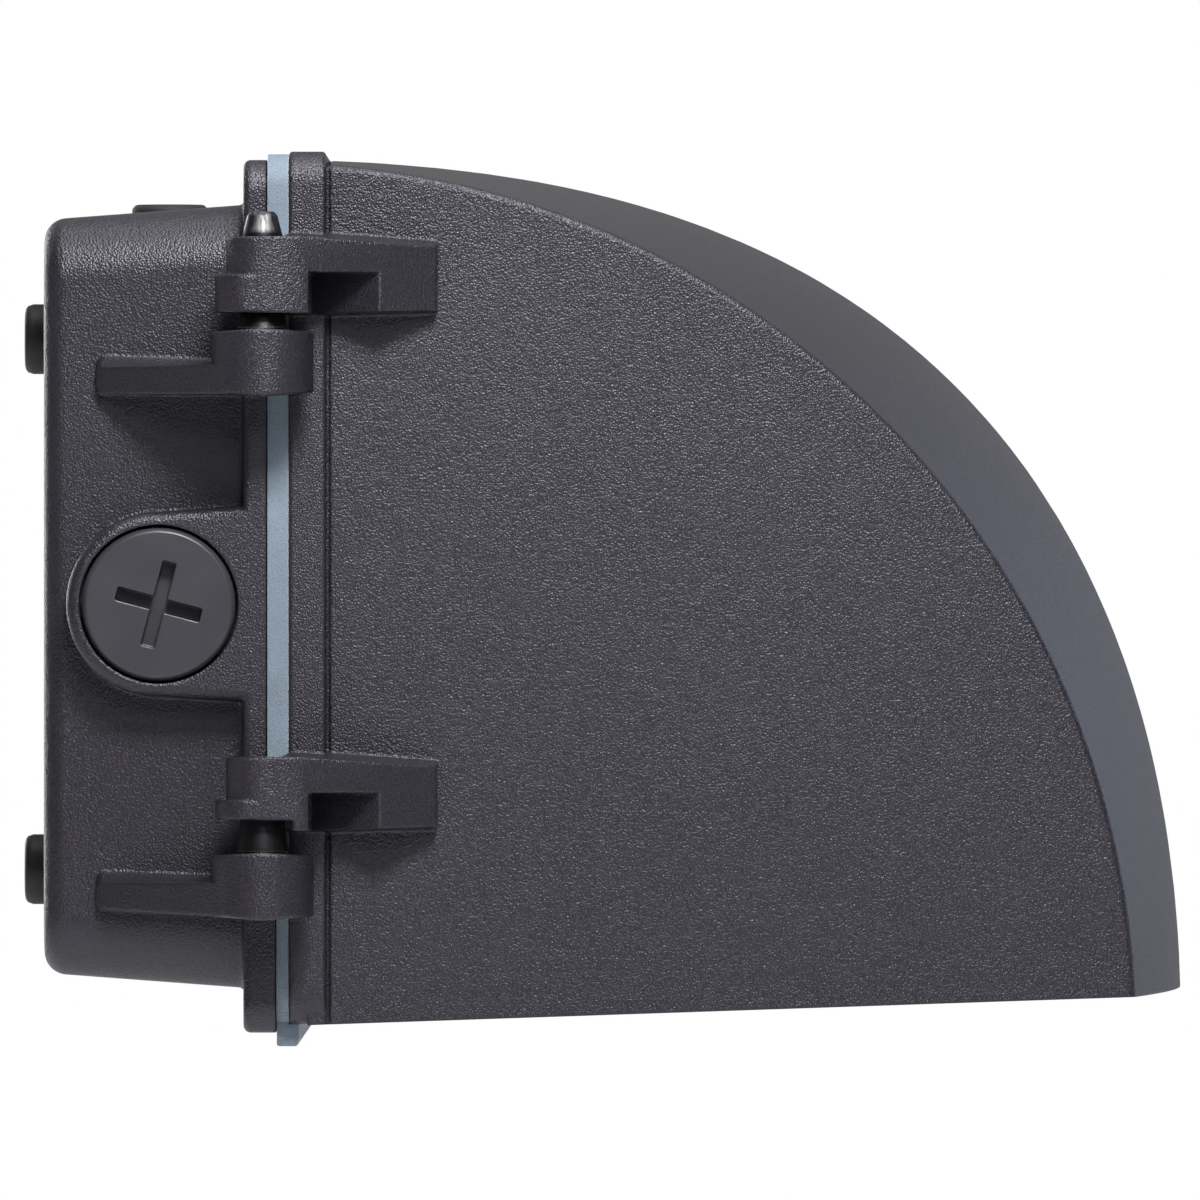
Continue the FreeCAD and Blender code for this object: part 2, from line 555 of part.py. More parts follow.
def terminal_block():
    """A barrier strip with one bay for each supply lead."""
    x = BACK_X + WALL
    half = TERMINAL_LENGTH / 2
    base = box(x, x + TERMINAL_HEIGHT / 3, TERMINAL_Y - half, TERMINAL_Y + half,
               TERMINAL_Z - TERMINAL_WIDTH / 2, TERMINAL_Z + TERMINAL_WIDTH / 2)
    core = half - 2 * SMALL_HEAD_R - 2 * CAST_EDGE
    block = box(x, x + TERMINAL_HEIGHT, TERMINAL_Y - core, TERMINAL_Y + core,
                TERMINAL_Z - TERMINAL_WIDTH / 2, TERMINAL_Z + TERMINAL_WIDTH / 2)
    bay = 2 * core / TERMINAL_POLES
    cuts = []
    for pole in range(TERMINAL_POLES):
        y = TERMINAL_Y - core + (pole + 0.5) * bay
        mouth = (x + TERMINAL_HEIGHT / 2, y, TERMINAL_Z)
        cuts.append(rod(bay / 2 - CAST_EDGE, mouth, (1, 0, 0), TERMINAL_HEIGHT))
    cuts += [rod(SMALL_SCREW_R, (x - THROUGH, y, z), (1, 0, 0), BIG) for y, z in terminal_places()]
    return joined([base, block]).cut(joined(cuts))


def terminal_block_screws():
    """The two screws of the terminal block."""
    x = BACK_X + WALL + TERMINAL_HEIGHT / 3
    return Part.makeCompound([small_screw((x, y, z), (-1, 0, 0), TERMINAL_HEIGHT / 3 + WALL / 2)
                              for y, z in terminal_places()])


# ---- door -----------------------------------------------------------------------------------
def bow(angle):
    """How far the hood's middle stands out past its sides, at an angle up from the front."""
    front = CROWN_FRONT * math.cos(angle) ** 2
    shoulder = CROWN_SHOULDER * math.sin(2 * angle) ** 2
    return front + shoulder + CROWN_TOP * math.sin(angle) ** 2


def hood_section(y, inset):
    """The hood cut across at y, as a sector about the centre of its side's arc."""
    share = 1 - (y / HOOD_HALF_W) ** 2
    points = []
    for step in range(HOOD_STEPS + 1):
        a = math.radians(-HOOD_OVERRUN + (90 + 2 * HOOD_OVERRUN) * step / HOOD_STEPS)
        r = HOOD_R + share * bow(a) - inset
        points.append(Vector(HOOD_CENTRE_X + r * math.cos(a), y, HOOD_CENTRE_Z + r * math.sin(a)))
    curve = Part.BSplineCurve()
    curve.interpolate(points)
    centre = Vector(HOOD_CENTRE_X, y, HOOD_CENTRE_Z)
    return Part.Wire([curve.toShape(), Part.LineSegment(points[-1], centre).toShape(),
                      Part.LineSegment(centre, points[0]).toShape()])


def hood_form(inset):
    """The crowned hood as a solid, smaller by inset all round."""
    half = HOOD_HALF_W - inset
    return Part.makeLoft([hood_section(y, inset) for y in (-half, 0, half)], True, False)


def hood_shell_outside():
    """The outside of the hood, in front of the door's flange and above the rim."""
    form = hood_form(0)
    form = rounded(form, HOOD_EDGE, lambda e: e.BoundBox.YLength < TOUCHING
                   and min(e.BoundBox.XLength, e.BoundBox.ZLength) > HOOD_R / 2)
    front = box(HOOD_X - DOOR_FLANGE / 2, BIG, -BIG, BIG, -BIG, BIG)
    return form.common(front).common(rim_slab(0, BIG))


def lens_slab(inset, low, high, corner):
    """A plate along the rim with straight sides and back, and a front bowed like the hood's."""
    half = HOOD_HALF_W - HOOD_WALL - inset
    side_x = HOOD_CENTRE_X + HOOD_R - HOOD_WALL - inset
    back_x = HOOD_X + inset
    z = DOOR_BOTTOM_Z + low
    corners = [Vector(back_x, half, z), Vector(back_x, -half, z), Vector(side_x, -half, z),
               Vector(side_x + CROWN_FRONT, 0, z), Vector(side_x, half, z)]
    outline = Part.Wire([Part.LineSegment(corners[0], corners[1]).toShape(),
                         Part.LineSegment(corners[1], corners[2]).toShape(),
                         Part.Arc(corners[2], corners[3], corners[4]).toShape(),
                         Part.LineSegment(corners[4], corners[0]).toShape()])
    plate = Part.Face(outline).extrude(Vector(0, 0, high - low))
    plate = rounded(plate, corner, lambda e: e.BoundBox.ZLength > (high - low) / 2)
    return along_rim(plate)


def lens_screw_places():
    """(x, y) of the screws that hold the lens frame, outside the glass."""
    inset = LENS_INSET - PILLAR_R - CAST_EDGE
    half = HOOD_HALF_W - HOOD_WALL - inset
    side_x = HOOD_CENTRE_X + HOOD_R - HOOD_WALL - inset
    places = []
    for share in (-LENS_SCREW_SHARE, 0, LENS_SCREW_SHARE):
        places.append((HOOD_X + inset, share * half))
        places.append((side_x + CROWN_FRONT * (1 - share ** 2), share * half))
    middle = (HOOD_X + side_x) / 2
    return places + [(middle, -half), (middle, half)]


def knuckle_lug(bottom, top, knuckle_bottom, heel_height):
    """A door knuckle with its heel and the pocketed lug that ties it to the hood's side."""
    rise = (LUG_END_X - LUG_FLAT_END_X) * math.tan(math.radians(DRAFT))
    knuckle = rod(KNUCKLE_R, (HINGE_X, HINGE_Y, knuckle_bottom), (0, 0, 1), top - knuckle_bottom)
    knuckle = bevelled(knuckle, CAST_EDGE / 2, lambda e: e.BoundBox.ZMin > top - TOUCHING)
    heel_x = HINGE_X - HEEL_REACH
    heel = joined([rod(KNUCKLE_R, (heel_x, HINGE_Y, knuckle_bottom), (0, 0, 1), heel_height),
                   box(heel_x, HINGE_X, HINGE_Y - KNUCKLE_R, HINGE_Y + KNUCKLE_R,
                       knuckle_bottom, knuckle_bottom + heel_height)])
    heel = bevelled(heel, CAST_EDGE / 2, lambda e: e.BoundBox.ZLength < TOUCHING
                    and e.BoundBox.XMin < heel_x - TOUCHING)
    outer = HINGE_Y - KNUCKLE_R
    wall_y = -HOOD_HALF_W
    plan = [(HINGE_X, HINGE_Y), (HINGE_X, outer), (LUG_FLAT_END_X, outer),
            (LUG_END_X, wall_y - LUG_END_PROUD), (LUG_END_X, wall_y + HOOD_WALL / 2),
            (DOOR_X, wall_y + HOOD_WALL / 2), (DOOR_X, -HALF_W - HINGE_CLEAR)]
    lug = prism(plan, bottom - LUG_DRAFT, top + LUG_DRAFT)
    face = [(HINGE_X - EAR_R, bottom), (LUG_FLAT_END_X, bottom), (LUG_END_X, bottom + rise / 3),
            (LUG_END_X, top - rise), (LUG_FLAT_END_X, top), (HINGE_X - EAR_R, top)]
    root = [(x, z + (LUG_DRAFT if z > (bottom + top) / 2 else -LUG_DRAFT / 2)) for x, z in face]
    outlines = []
    for points, y in ((face, outer), (face, -HALF_W - LUG_ROOT), (root, wall_y + HOOD_WALL / 2)):
        corners = [Vector(x, y, z) for x, z in points]
        outlines.append(Part.makePolygon(corners + corners[:1]))
    lug = lug.common(Part.makeLoft(outlines, True, True))
    pocket_x = LUG_FLAT_END_X + LUG_POCKET_WEB
    floor = [(pocket_x, outer - THROUGH), (pocket_x, wall_y - LUG_POCKET_PROUD),
             (LUG_POCKET_END_X, outer + (LUG_POCKET_END_X - LUG_FLAT_END_X) * lug_taper()),
             (LUG_POCKET_END_X, outer - THROUGH)]
    lug = lug.cut(prism(floor, bottom - THROUGH, top - LUG_POCKET_DROP))
    below = rod(KNUCKLE_R + HEEL_REACH, (HINGE_X, HINGE_Y, knuckle_bottom), (0, 0, -1), EAR_HEIGHT)
    return joined([knuckle, heel, lug.cut(below)])


def lug_taper():
    """Slope of a lug's outer face in plan."""
    return (HINGE_Y - KNUCKLE_R + HOOD_HALF_W + LUG_END_PROUD) / (LUG_FLAT_END_X - LUG_END_X)


def door_casting():
    """The cast door: a flange frame and a crowned hood with hinge lugs, screw ears and a lens ledge."""
    flange = slab(DOOR_X, HOOD_X, HALF_W, HALF_H, FLANGE_CORNER, DOOR_MID_Z)
    flange = rounded(flange, CAST_EDGE, lambda e: e.BoundBox.XLength < TOUCHING)
    lugs = [knuckle_lug(UPPER_KNUCKLE_BOTTOM, UPPER_LUG_TOP, UPPER_KNUCKLE_BOTTOM, UPPER_HEEL),
            knuckle_lug(LOWER_LUG_BOTTOM, LOWER_LUG_TOP, LOWER_KNUCKLE_BOTTOM, LOWER_HEEL)]
    ears = [latch_ear(DOOR_X, HOOD_X + LATCH_BOSS, z, LATCH_R) for z in latch_places()]
    groove = slab(HOOD_X, HOOD_X + HOOD_GROOVE, BIG, BIG, HOOD_WALL, DOOR_MID_Z).cut(hood_form(HOOD_GROOVE_DEPTH))
    casting = joined([flange, hood_shell_outside().cut(groove)] + lugs + ears)
    inside = hood_form(HOOD_WALL).common(box(HOOD_X, BIG, -BIG, BIG, -BIG, BIG))
    rail = FRAME_TOP + RAIL_CLEAR
    opening_half = (2 * HALF_H - rail - 2 * HOOD_WALL) / 2
    opening = slab(DOOR_X - THROUGH, HOOD_X + THROUGH, HOOD_HALF_W - HOOD_WALL, opening_half,
                   FLANGE_CORNER, DOOR_BOTTOM_Z + rail + opening_half)
    window = lens_slab(LEDGE_WIDTH, RIM_RECESS - THROUGH, RIM_SEAT + THROUGH, WINDOW_CORNER)
    upper = inside.common(rim_slab(RIM_SEAT, BIG))
    lower = inside.common(rim_slab(-BIG, RIM_RECESS))
    casting = casting.cut(joined([upper, opening])).cut(lower).cut(window)
    inner = [along_rim(rod(PILLAR_R, (x, y, DOOR_BOTTOM_Z + RIM_SEAT), (0, 0, 1), LENS_TOP - RIM_SEAT))
             for x, y in lens_screw_places()]
    wall_y = HOOD_HALF_W - HOOD_WALL
    for side in (-1, 1):
        low, high = sorted((side * wall_y, side * (wall_y - TRAY_LEDGE)))
        inner.append(along_rim(box(TRAY_BACK_X, TRAY_FRONT_X, low, high, TRAY_Z - WALL, TRAY_Z)))
    casting = joined([casting] + inner)
    holes = [rod(PIN_R, (HINGE_X, HINGE_Y, -BIG), (0, 0, 1), 2 * BIG)]
    holes += [rod(SCREW_R + SCREW_CLEAR, (0, LATCH_Y, z), (1, 0, 0), BIG) for z in latch_places()]
    thread_z = DOOR_BOTTOM_Z + RIM_RECESS + THROUGH
    holes += [along_rim(rod(SMALL_SCREW_R, (x, y, thread_z), (0, 0, 1), TRAY_RISE))
              for x, y in lens_screw_places()]
    holes += [along_rim(rod(SMALL_SCREW_R, (x, y, TRAY_Z - BIG), (0, 0, 1), BIG)).common(
        rim_slab(TRAY_RISE - 2 * WALL, BIG)) for x, y in tray_screw_places()]
    return casting.cut(joined(holes))


def door_gasket():
    """The sponge gasket on the door's back, with a lip that hooks under its flange."""
    half_w = HALF_W - GASKET_EDGE_INSET
    half_h = HALF_H - GASKET_EDGE_INSET
    ring = slab(FACE_X, DOOR_X, half_w, half_h, FLANGE_CORNER, DOOR_MID_Z)
    inner = slab(FLANGE_X, HOOD_X, half_w - GASKET_WIDTH, half_h - GASKET_WIDTH,
                 FLANGE_CORNER / 2, DOOR_MID_Z)
    lip_x = RAIL_X
    lip_half = half_w - FLANGE_CORNER
    low = DOOR_BOTTOM_Z - GASKET_LIP_DROP
    lip = box(lip_x, lip_x + GASKET_LIP_WIDTH, -lip_half, lip_half, low, DOOR_BOTTOM_Z)
    lip = rounded(lip, CAST_EDGE, lambda e: e.BoundBox.ZMax < DOOR_BOTTOM_Z - TOUCHING
                  and e.BoundBox.YLength > HALF_W)
    neck = box(lip_x, DOOR_X, -lip_half, lip_half, low + CAST_EDGE, DOOR_BOTTOM_Z + 2 * GASKET_EDGE_INSET)
    face = sealing_cut()
    face.translate(Vector(GASKET_CLEAR, 0, GASKET_CLEAR))
    return joined([ring.cut(inner), lip, neck]).common(face)


def ring_along_rim(outer, inner, low, high, corner):
    """A flat ring between two insets from the hood's wall."""
    hole = lens_slab(inner, low - THROUGH, high + THROUGH, corner)
    return lens_slab(outer, low, high, corner).cut(hole)


def lens_gasket():
    """The flat seal between the ledge and the glass."""
    return ring_along_rim(LENS_INSET, LEDGE_WIDTH, RIM_SEAT, RIM_SEAT + LENS_SEAL, WINDOW_CORNER)


def glass_lens():
    """The flat tempered glass, its front edge bowed like the hood's."""
    return lens_slab(LENS_INSET, RIM_SEAT + LENS_SEAL, LENS_TOP, WINDOW_CORNER)


def lens_frame():
    """The sheet frame that holds the glass down on its seal."""
    frame = ring_along_rim(FRAME_GAP, LEDGE_WIDTH, LENS_TOP, FRAME_TOP, WINDOW_CORNER)
    holes = [along_rim(rod(SMALL_SCREW_R, (x, y, DOOR_BOTTOM_Z), (0, 0, 1), BIG))
             for x, y in lens_screw_places()]
    return frame.cut(joined(holes))


def screws_on_rim(places, height, down, length):
    """Small screws standing on a plane along the rim, their heads above it or below it."""
    direction = (0, 0, -1) if down else (0, 0, 1)
    screws = [small_screw((x, y, DOOR_BOTTOM_Z + height), direction, length) for x, y in places]
    return along_rim(Part.makeCompound(screws))


def lens_frame_screws():
    """The screws through the lens frame into the ledge's pillars."""
    return screws_on_rim(lens_screw_places(), FRAME_TOP, True, FRAME_TOP - RIM_RECESS - 2 * THROUGH)


def tray_screw_places():
    """(x, y) of the screws that hold the heat sink tray on its two ledges."""
    y = HOOD_HALF_W - HOOD_WALL - TRAY_LEDGE / 2
    return [(x, side * y) for side in (-1, 1)
            for x in (TRAY_BACK_X + TRAY_LEDGE, TRAY_FRONT_X - TRAY_LEDGE)]


def board_screw_places():
    """(x, y) of the screws that clamp the optics and the board to the tray."""
    return [(BOARD_X + sx * (BOARD_LENGTH / 2 - SMALL_HEAD_R - CAST_EDGE), sy * LED_PITCH_Y * 2)
            for sx in (-1, 1) for sy in (-1, 0, 1)]


def driver_screw_places():
    """(x, y) of the screws through the driver's two tabs."""
    return [(DRIVER_X, side * (DRIVER_LENGTH + DRIVER_TAB) / 2) for side in (-1, 1)]


def heat_sink_tray():
    """The aluminium tray across the hood, with a bank of fins at each end of the driver."""
    top = TRAY_Z + TRAY_THICK
    plate = box(TRAY_BACK_X, TRAY_FRONT_X, -TRAY_HALF_W, TRAY_HALF_W, TRAY_Z, top)
    fins = []
    for side in (-1, 1):
        for count in range(FIN_COUNT):
            low, high = sorted((side * (FIN_START_Y + count * FIN_PITCH),
                                side * (FIN_START_Y + count * FIN_PITCH + FIN_THICK)))
            fins.append(box(TRAY_BACK_X + TRAY_LEDGE * 2, TRAY_FRONT_X - TRAY_LEDGE * 2, low, high,
                            top - FIN_THICK / 2, top + FIN_HEIGHT))
    bores = [rod(SMALL_SCREW_R, (x, y, TRAY_Z - THROUGH), (0, 0, 1), TRAY_LEDGE)
             for x, y in tray_screw_places() + board_screw_places() + driver_screw_places()]
    return along_rim(joined([plate] + fins).cut(joined(bores)))


def tray_screws():
    """The screws that hold the tray on its ledges."""
    return screws_on_rim(tray_screw_places(), TRAY_RISE + TRAY_THICK, True, TRAY_THICK + WALL)


def led_places():
    """(x, y) of the light emitters."""
    rows = [BOARD_X + (row - (LED_ROWS - 1) / 2) * LED_PITCH_X for row in range(LED_ROWS)]
    columns = [(column - (LED_COLUMNS - 1) / 2) * LED_PITCH_Y for column in range(LED_COLUMNS)]
    return [(x, y) for x in rows for y in columns]


def led_board():
    """The metal-core board under the tray."""
    half_l = BOARD_LENGTH / 2
    board = box(BOARD_X - half_l, BOARD_X + half_l, -BOARD_WIDTH / 2, BOARD_WIDTH / 2,
                TRAY_Z - BOARD_THICK, TRAY_Z)
    bores = [rod(SMALL_SCREW_R, (x, y, TRAY_Z - BOARD_THICK - THROUGH), (0, 0, 1), TRAY_LEDGE)
             for x, y in board_screw_places()]
    return along_rim(board.cut(joined(bores)))


def led_emitters():
    """The emitters on the board's underside."""
    half = LED_SIZE / 2
    top = TRAY_Z - BOARD_THICK
    return along_rim(Part.makeCompound([box(x - half, x + half, y - half, y + half, top - LED_THICK, top)
                                        for x, y in led_places()]))


def optic_dome(x, y, z):
    """A many-sided dome that hangs under the optics' plate."""
    rings = []
    for radius, drop in ((OPTIC_R, 0), (OPTIC_TIP_R, OPTIC_DROP)):
        corners = [Vector(x + radius * math.cos(2 * math.pi * side / OPTIC_SIDES),
                          y + radius * math.sin(2 * math.pi * side / OPTIC_SIDES), z - drop)
                   for side in range(OPTIC_SIDES)]
        rings.append(Part.makePolygon(corners + corners[:1]))
    return Part.makeLoft(rings, True, True)


def led_optics():
    """The clear plate under the board, with a hollow dome over each emitter."""
    half_l = BOARD_LENGTH / 2
    top = TRAY_Z - BOARD_THICK
    plate = box(BOARD_X - half_l, BOARD_X + half_l, -BOARD_WIDTH / 2, BOARD_WIDTH / 2, top - OPTIC_PLATE, top)
    domes = [optic_dome(x, y, top - OPTIC_PLATE) for x, y in led_places()]
    room = LED_SIZE / 2 + OPTIC_CLEAR
    hollows = [box(x - room, x + room, y - room, y + room, top - OPTIC_PLATE, top) for x, y in led_places()]
    bores = [rod(SMALL_SCREW_R, (x, y, top - OPTIC_PLATE - THROUGH), (0, 0, 1), TRAY_LEDGE)
             for x, y in board_screw_places()]
    return along_rim(joined([plate] + domes).cut(joined(hollows + bores)))


def board_screws():
    """The screws through the optics and the board into the tray."""
    return screws_on_rim(board_screw_places(), TRAY_RISE - BOARD_THICK - OPTIC_PLATE, False,
                         OPTIC_PLATE + BOARD_THICK + TRAY_THICK)


def rim_rectangle(x0, x1, half_w, height):
    """A closed rectangle of corners at a height over the rim."""
    z = DOOR_BOTTOM_Z + height
    corners = [Vector(x0, -half_w, z), Vector(x1, -half_w, z), Vector(x1, half_w, z), Vector(x0, half_w, z)]
    return Part.makePolygon(corners + corners[:1])


def reflector():
    """The bright sheet funnel from the tray down to the lens frame."""
    inner = LEDGE_WIDTH - REFLECTOR_LAP
    mouth = (HOOD_X + inner, HOOD_CENTRE_X + HOOD_R - HOOD_WALL - inner, HOOD_HALF_W - HOOD_WALL - inner)
    half_l = BOARD_LENGTH / 2 + REFLECTOR_TOP_GAP
    neck = (BOARD_X - half_l, BOARD_X + half_l, BOARD_WIDTH / 2 + REFLECTOR_TOP_GAP)
    funnels = []
    for sheet in (REFLECTOR_SHEET, 0):
        low = rim_rectangle(mouth[0] - sheet, mouth[1] + sheet, mouth[2] + sheet, FRAME_TOP)
        high = rim_rectangle(neck[0] - sheet, neck[1] + sheet, neck[2] + sheet, TRAY_RISE)
        funnels.append(Part.makeLoft([low, high], True, True))
    return along_rim(funnels[0].cut(funnels[1]))


def led_driver():
    """The sealed driver on the tray, with a screw tab at each end."""
    base = TRAY_Z + TRAY_THICK
    half_l = DRIVER_LENGTH / 2
    half_w = DRIVER_WIDTH / 2
    case = box(DRIVER_X - half_w, DRIVER_X + half_w, -half_l, half_l, base, base + DRIVER_HEIGHT)
    case = rounded(case, 3 * CAST_EDGE, lambda e: e.BoundBox.YLength > half_l and e.BoundBox.ZMin > base)
    tab = box(DRIVER_X - half_w / 2, DRIVER_X + half_w / 2, -half_l - DRIVER_TAB, half_l + DRIVER_TAB,
              base, base + DRIVER_TAB_THICK)
    bores = [rod(SMALL_SCREW_R, (x, y, base - THROUGH), (0, 0, 1), TRAY_LEDGE)
             for x, y in driver_screw_places()]
    return along_rim(joined([case, tab]).cut(joined(bores)))


def driver_screws():
    """The screws through the driver's tabs."""
    return screws_on_rim(driver_screw_places(), TRAY_RISE + TRAY_THICK + DRIVER_TAB_THICK, True,
                         DRIVER_TAB_THICK + TRAY_THICK)


def latch_screw(z):
    """A captive door screw with a slotted hexagon head, screwed home."""
    seat = HOOD_X + LATCH_BOSS + WASHER_THICK
    corners = []
    for count in range(6):
        a = math.radians(60 * count)
        corners.append(Vector(seat, LATCH_Y + SCREW_HEAD_R * math.cos(a), z + SCREW_HEAD_R * math.sin(a)))
    head = Part.Face(Part.makePolygon(corners + corners[:1])).extrude(Vector(SCREW_HEAD, 0, 0))
    slot = box(seat + SCREW_HEAD / 2, seat + 2 * SCREW_HEAD, LATCH_Y - CAST_EDGE / 2, LATCH_Y + CAST_EDGE / 2,
               z - SCREW_HEAD_R, z + SCREW_HEAD_R)
    shank = rod(SCREW_R, (seat, LATCH_Y, z), (-1, 0, 0), seat - DOOR_X + GASKET_THICK + SCREW_GRIP)
    return joined([head.cut(slot), shank])


def ring_on_latch(z, x, radius, thick):
    """A flat ring round a door screw."""
    ring = rod(radius, (x, LATCH_Y, z), (1, 0, 0), thick)
    return ring.cut(rod(SCREW_R + PIN_CLEAR * 2, (x - THROUGH, LATCH_Y, z), (1, 0, 0), BIG))


def latch_washers():
    """The washers between the door screws' heads and the door's ears."""
    return Part.makeCompound([ring_on_latch(z, HOOD_X + LATCH_BOSS, WASHER_R, WASHER_THICK)
                              for z in latch_places()])


def latch_retainers():
    """The push-on rings behind the door's ears that keep the screws on the door."""
    return Part.makeCompound([ring_on_latch(z, DOOR_X - RETAINER_THICK, RETAINER_R, RETAINER_THICK)
                              for z in latch_places()])


def all_parts():
    """Every node's name with its shape."""
    upper, lower = latch_places()
    return {
        "rear_housing": rear_housing(),
        "mounting_grommets": mounting_grommets(),
        "hinge_side_conduit_plug": conduit_plug(-1),
        "hinge_side_plug_seal": plug_seal(-1),
        "latch_side_conduit_plug": conduit_plug(1),
        "latch_side_plug_seal": plug_seal(1),
        "photocell_button": photocell_button(),
        "upper_hinge_pin": hinge_pin(UPPER_EAR_TOP, UPPER_KNUCKLE_BOTTOM, UPPER_LUG_TOP + PIN_TIP),
        "lower_hinge_pin": hinge_pin(LOWER_EAR_TOP, LOWER_KNUCKLE_BOTTOM, LOWER_LUG_TOP - THROUGH),
        "ground_screw": ground_screw(),
        "terminal_block": terminal_block(),
        "terminal_block_screws": terminal_block_screws(),
        "door_casting": door_casting(),
        "door_gasket": door_gasket(),
        "lens_gasket": lens_gasket(),
        "glass_lens": glass_lens(),
        "lens_frame": lens_frame(),
        "lens_frame_screws": lens_frame_screws(),
        "heat_sink_tray": heat_sink_tray(),
        "tray_screws": tray_screws(),
        "led_board": led_board(),
        "led_emitters": led_emitters(),
        "led_optics": led_optics(),
        "board_screws": board_screws(),
        "reflector": reflector(),
        "led_driver": led_driver(),
        "driver_screws": driver_screws(),
        "upper_latch_screw": latch_screw(upper),
        "lower_latch_screw": latch_screw(lower),
        "latch_washers": latch_washers(),
        "latch_retainers": latch_retainers(),
    }


def main():
    """Builds every part and writes one file for each."""
    os.makedirs("parts", exist_ok=True)
    for name, shape in all_parts().items():
        if not shape.isValid() or shape.Volume <= 0:
            raise ValueError(name + " isn't a valid solid")
        shape.exportStep(os.path.join("parts", name + ".step"))
        box_size = shape.BoundBox
        print(f"{name}: {len(shape.Solids)} solids, {shape.Volume / 1000:.2f} cm3, "
              f"{box_size.XLength:.1f} x {box_size.YLength:.1f} x {box_size.ZLength:.1f}")


main()
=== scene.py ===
"""Dresses the wall pack light: skins for its castings, its light engine, fasteners and finishes."""

import logging
import math
from dataclasses import dataclass
from enum import Enum
from typing import Callable, Iterable, Optional, Sequence

import bpy
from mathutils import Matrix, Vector


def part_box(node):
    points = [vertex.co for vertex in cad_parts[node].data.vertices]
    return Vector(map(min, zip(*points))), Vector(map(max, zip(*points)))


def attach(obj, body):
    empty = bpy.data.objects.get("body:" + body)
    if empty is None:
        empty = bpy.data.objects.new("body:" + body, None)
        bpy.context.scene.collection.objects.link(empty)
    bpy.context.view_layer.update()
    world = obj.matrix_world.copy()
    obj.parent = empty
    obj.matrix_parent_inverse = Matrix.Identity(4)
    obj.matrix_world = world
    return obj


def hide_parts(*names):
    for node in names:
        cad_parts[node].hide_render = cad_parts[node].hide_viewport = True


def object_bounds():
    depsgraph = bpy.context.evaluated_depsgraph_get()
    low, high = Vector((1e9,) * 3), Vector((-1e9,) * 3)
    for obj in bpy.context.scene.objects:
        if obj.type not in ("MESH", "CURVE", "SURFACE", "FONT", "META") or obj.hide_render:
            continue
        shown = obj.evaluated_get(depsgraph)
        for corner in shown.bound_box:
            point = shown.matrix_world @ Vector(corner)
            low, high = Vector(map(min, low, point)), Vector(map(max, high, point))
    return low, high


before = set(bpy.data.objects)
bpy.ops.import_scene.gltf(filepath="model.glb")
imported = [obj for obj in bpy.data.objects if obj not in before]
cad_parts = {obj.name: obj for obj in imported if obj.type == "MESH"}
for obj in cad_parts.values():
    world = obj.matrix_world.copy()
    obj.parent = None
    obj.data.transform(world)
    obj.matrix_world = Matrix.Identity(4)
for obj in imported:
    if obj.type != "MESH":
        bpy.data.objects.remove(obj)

CAD_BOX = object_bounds()
MM = 0.001
LOG = logging.getLogger("wall_pack")

Colour = tuple[float, float, float]
Point = tuple[float, float, float]
Steps = Iterable[tuple[float, float]]


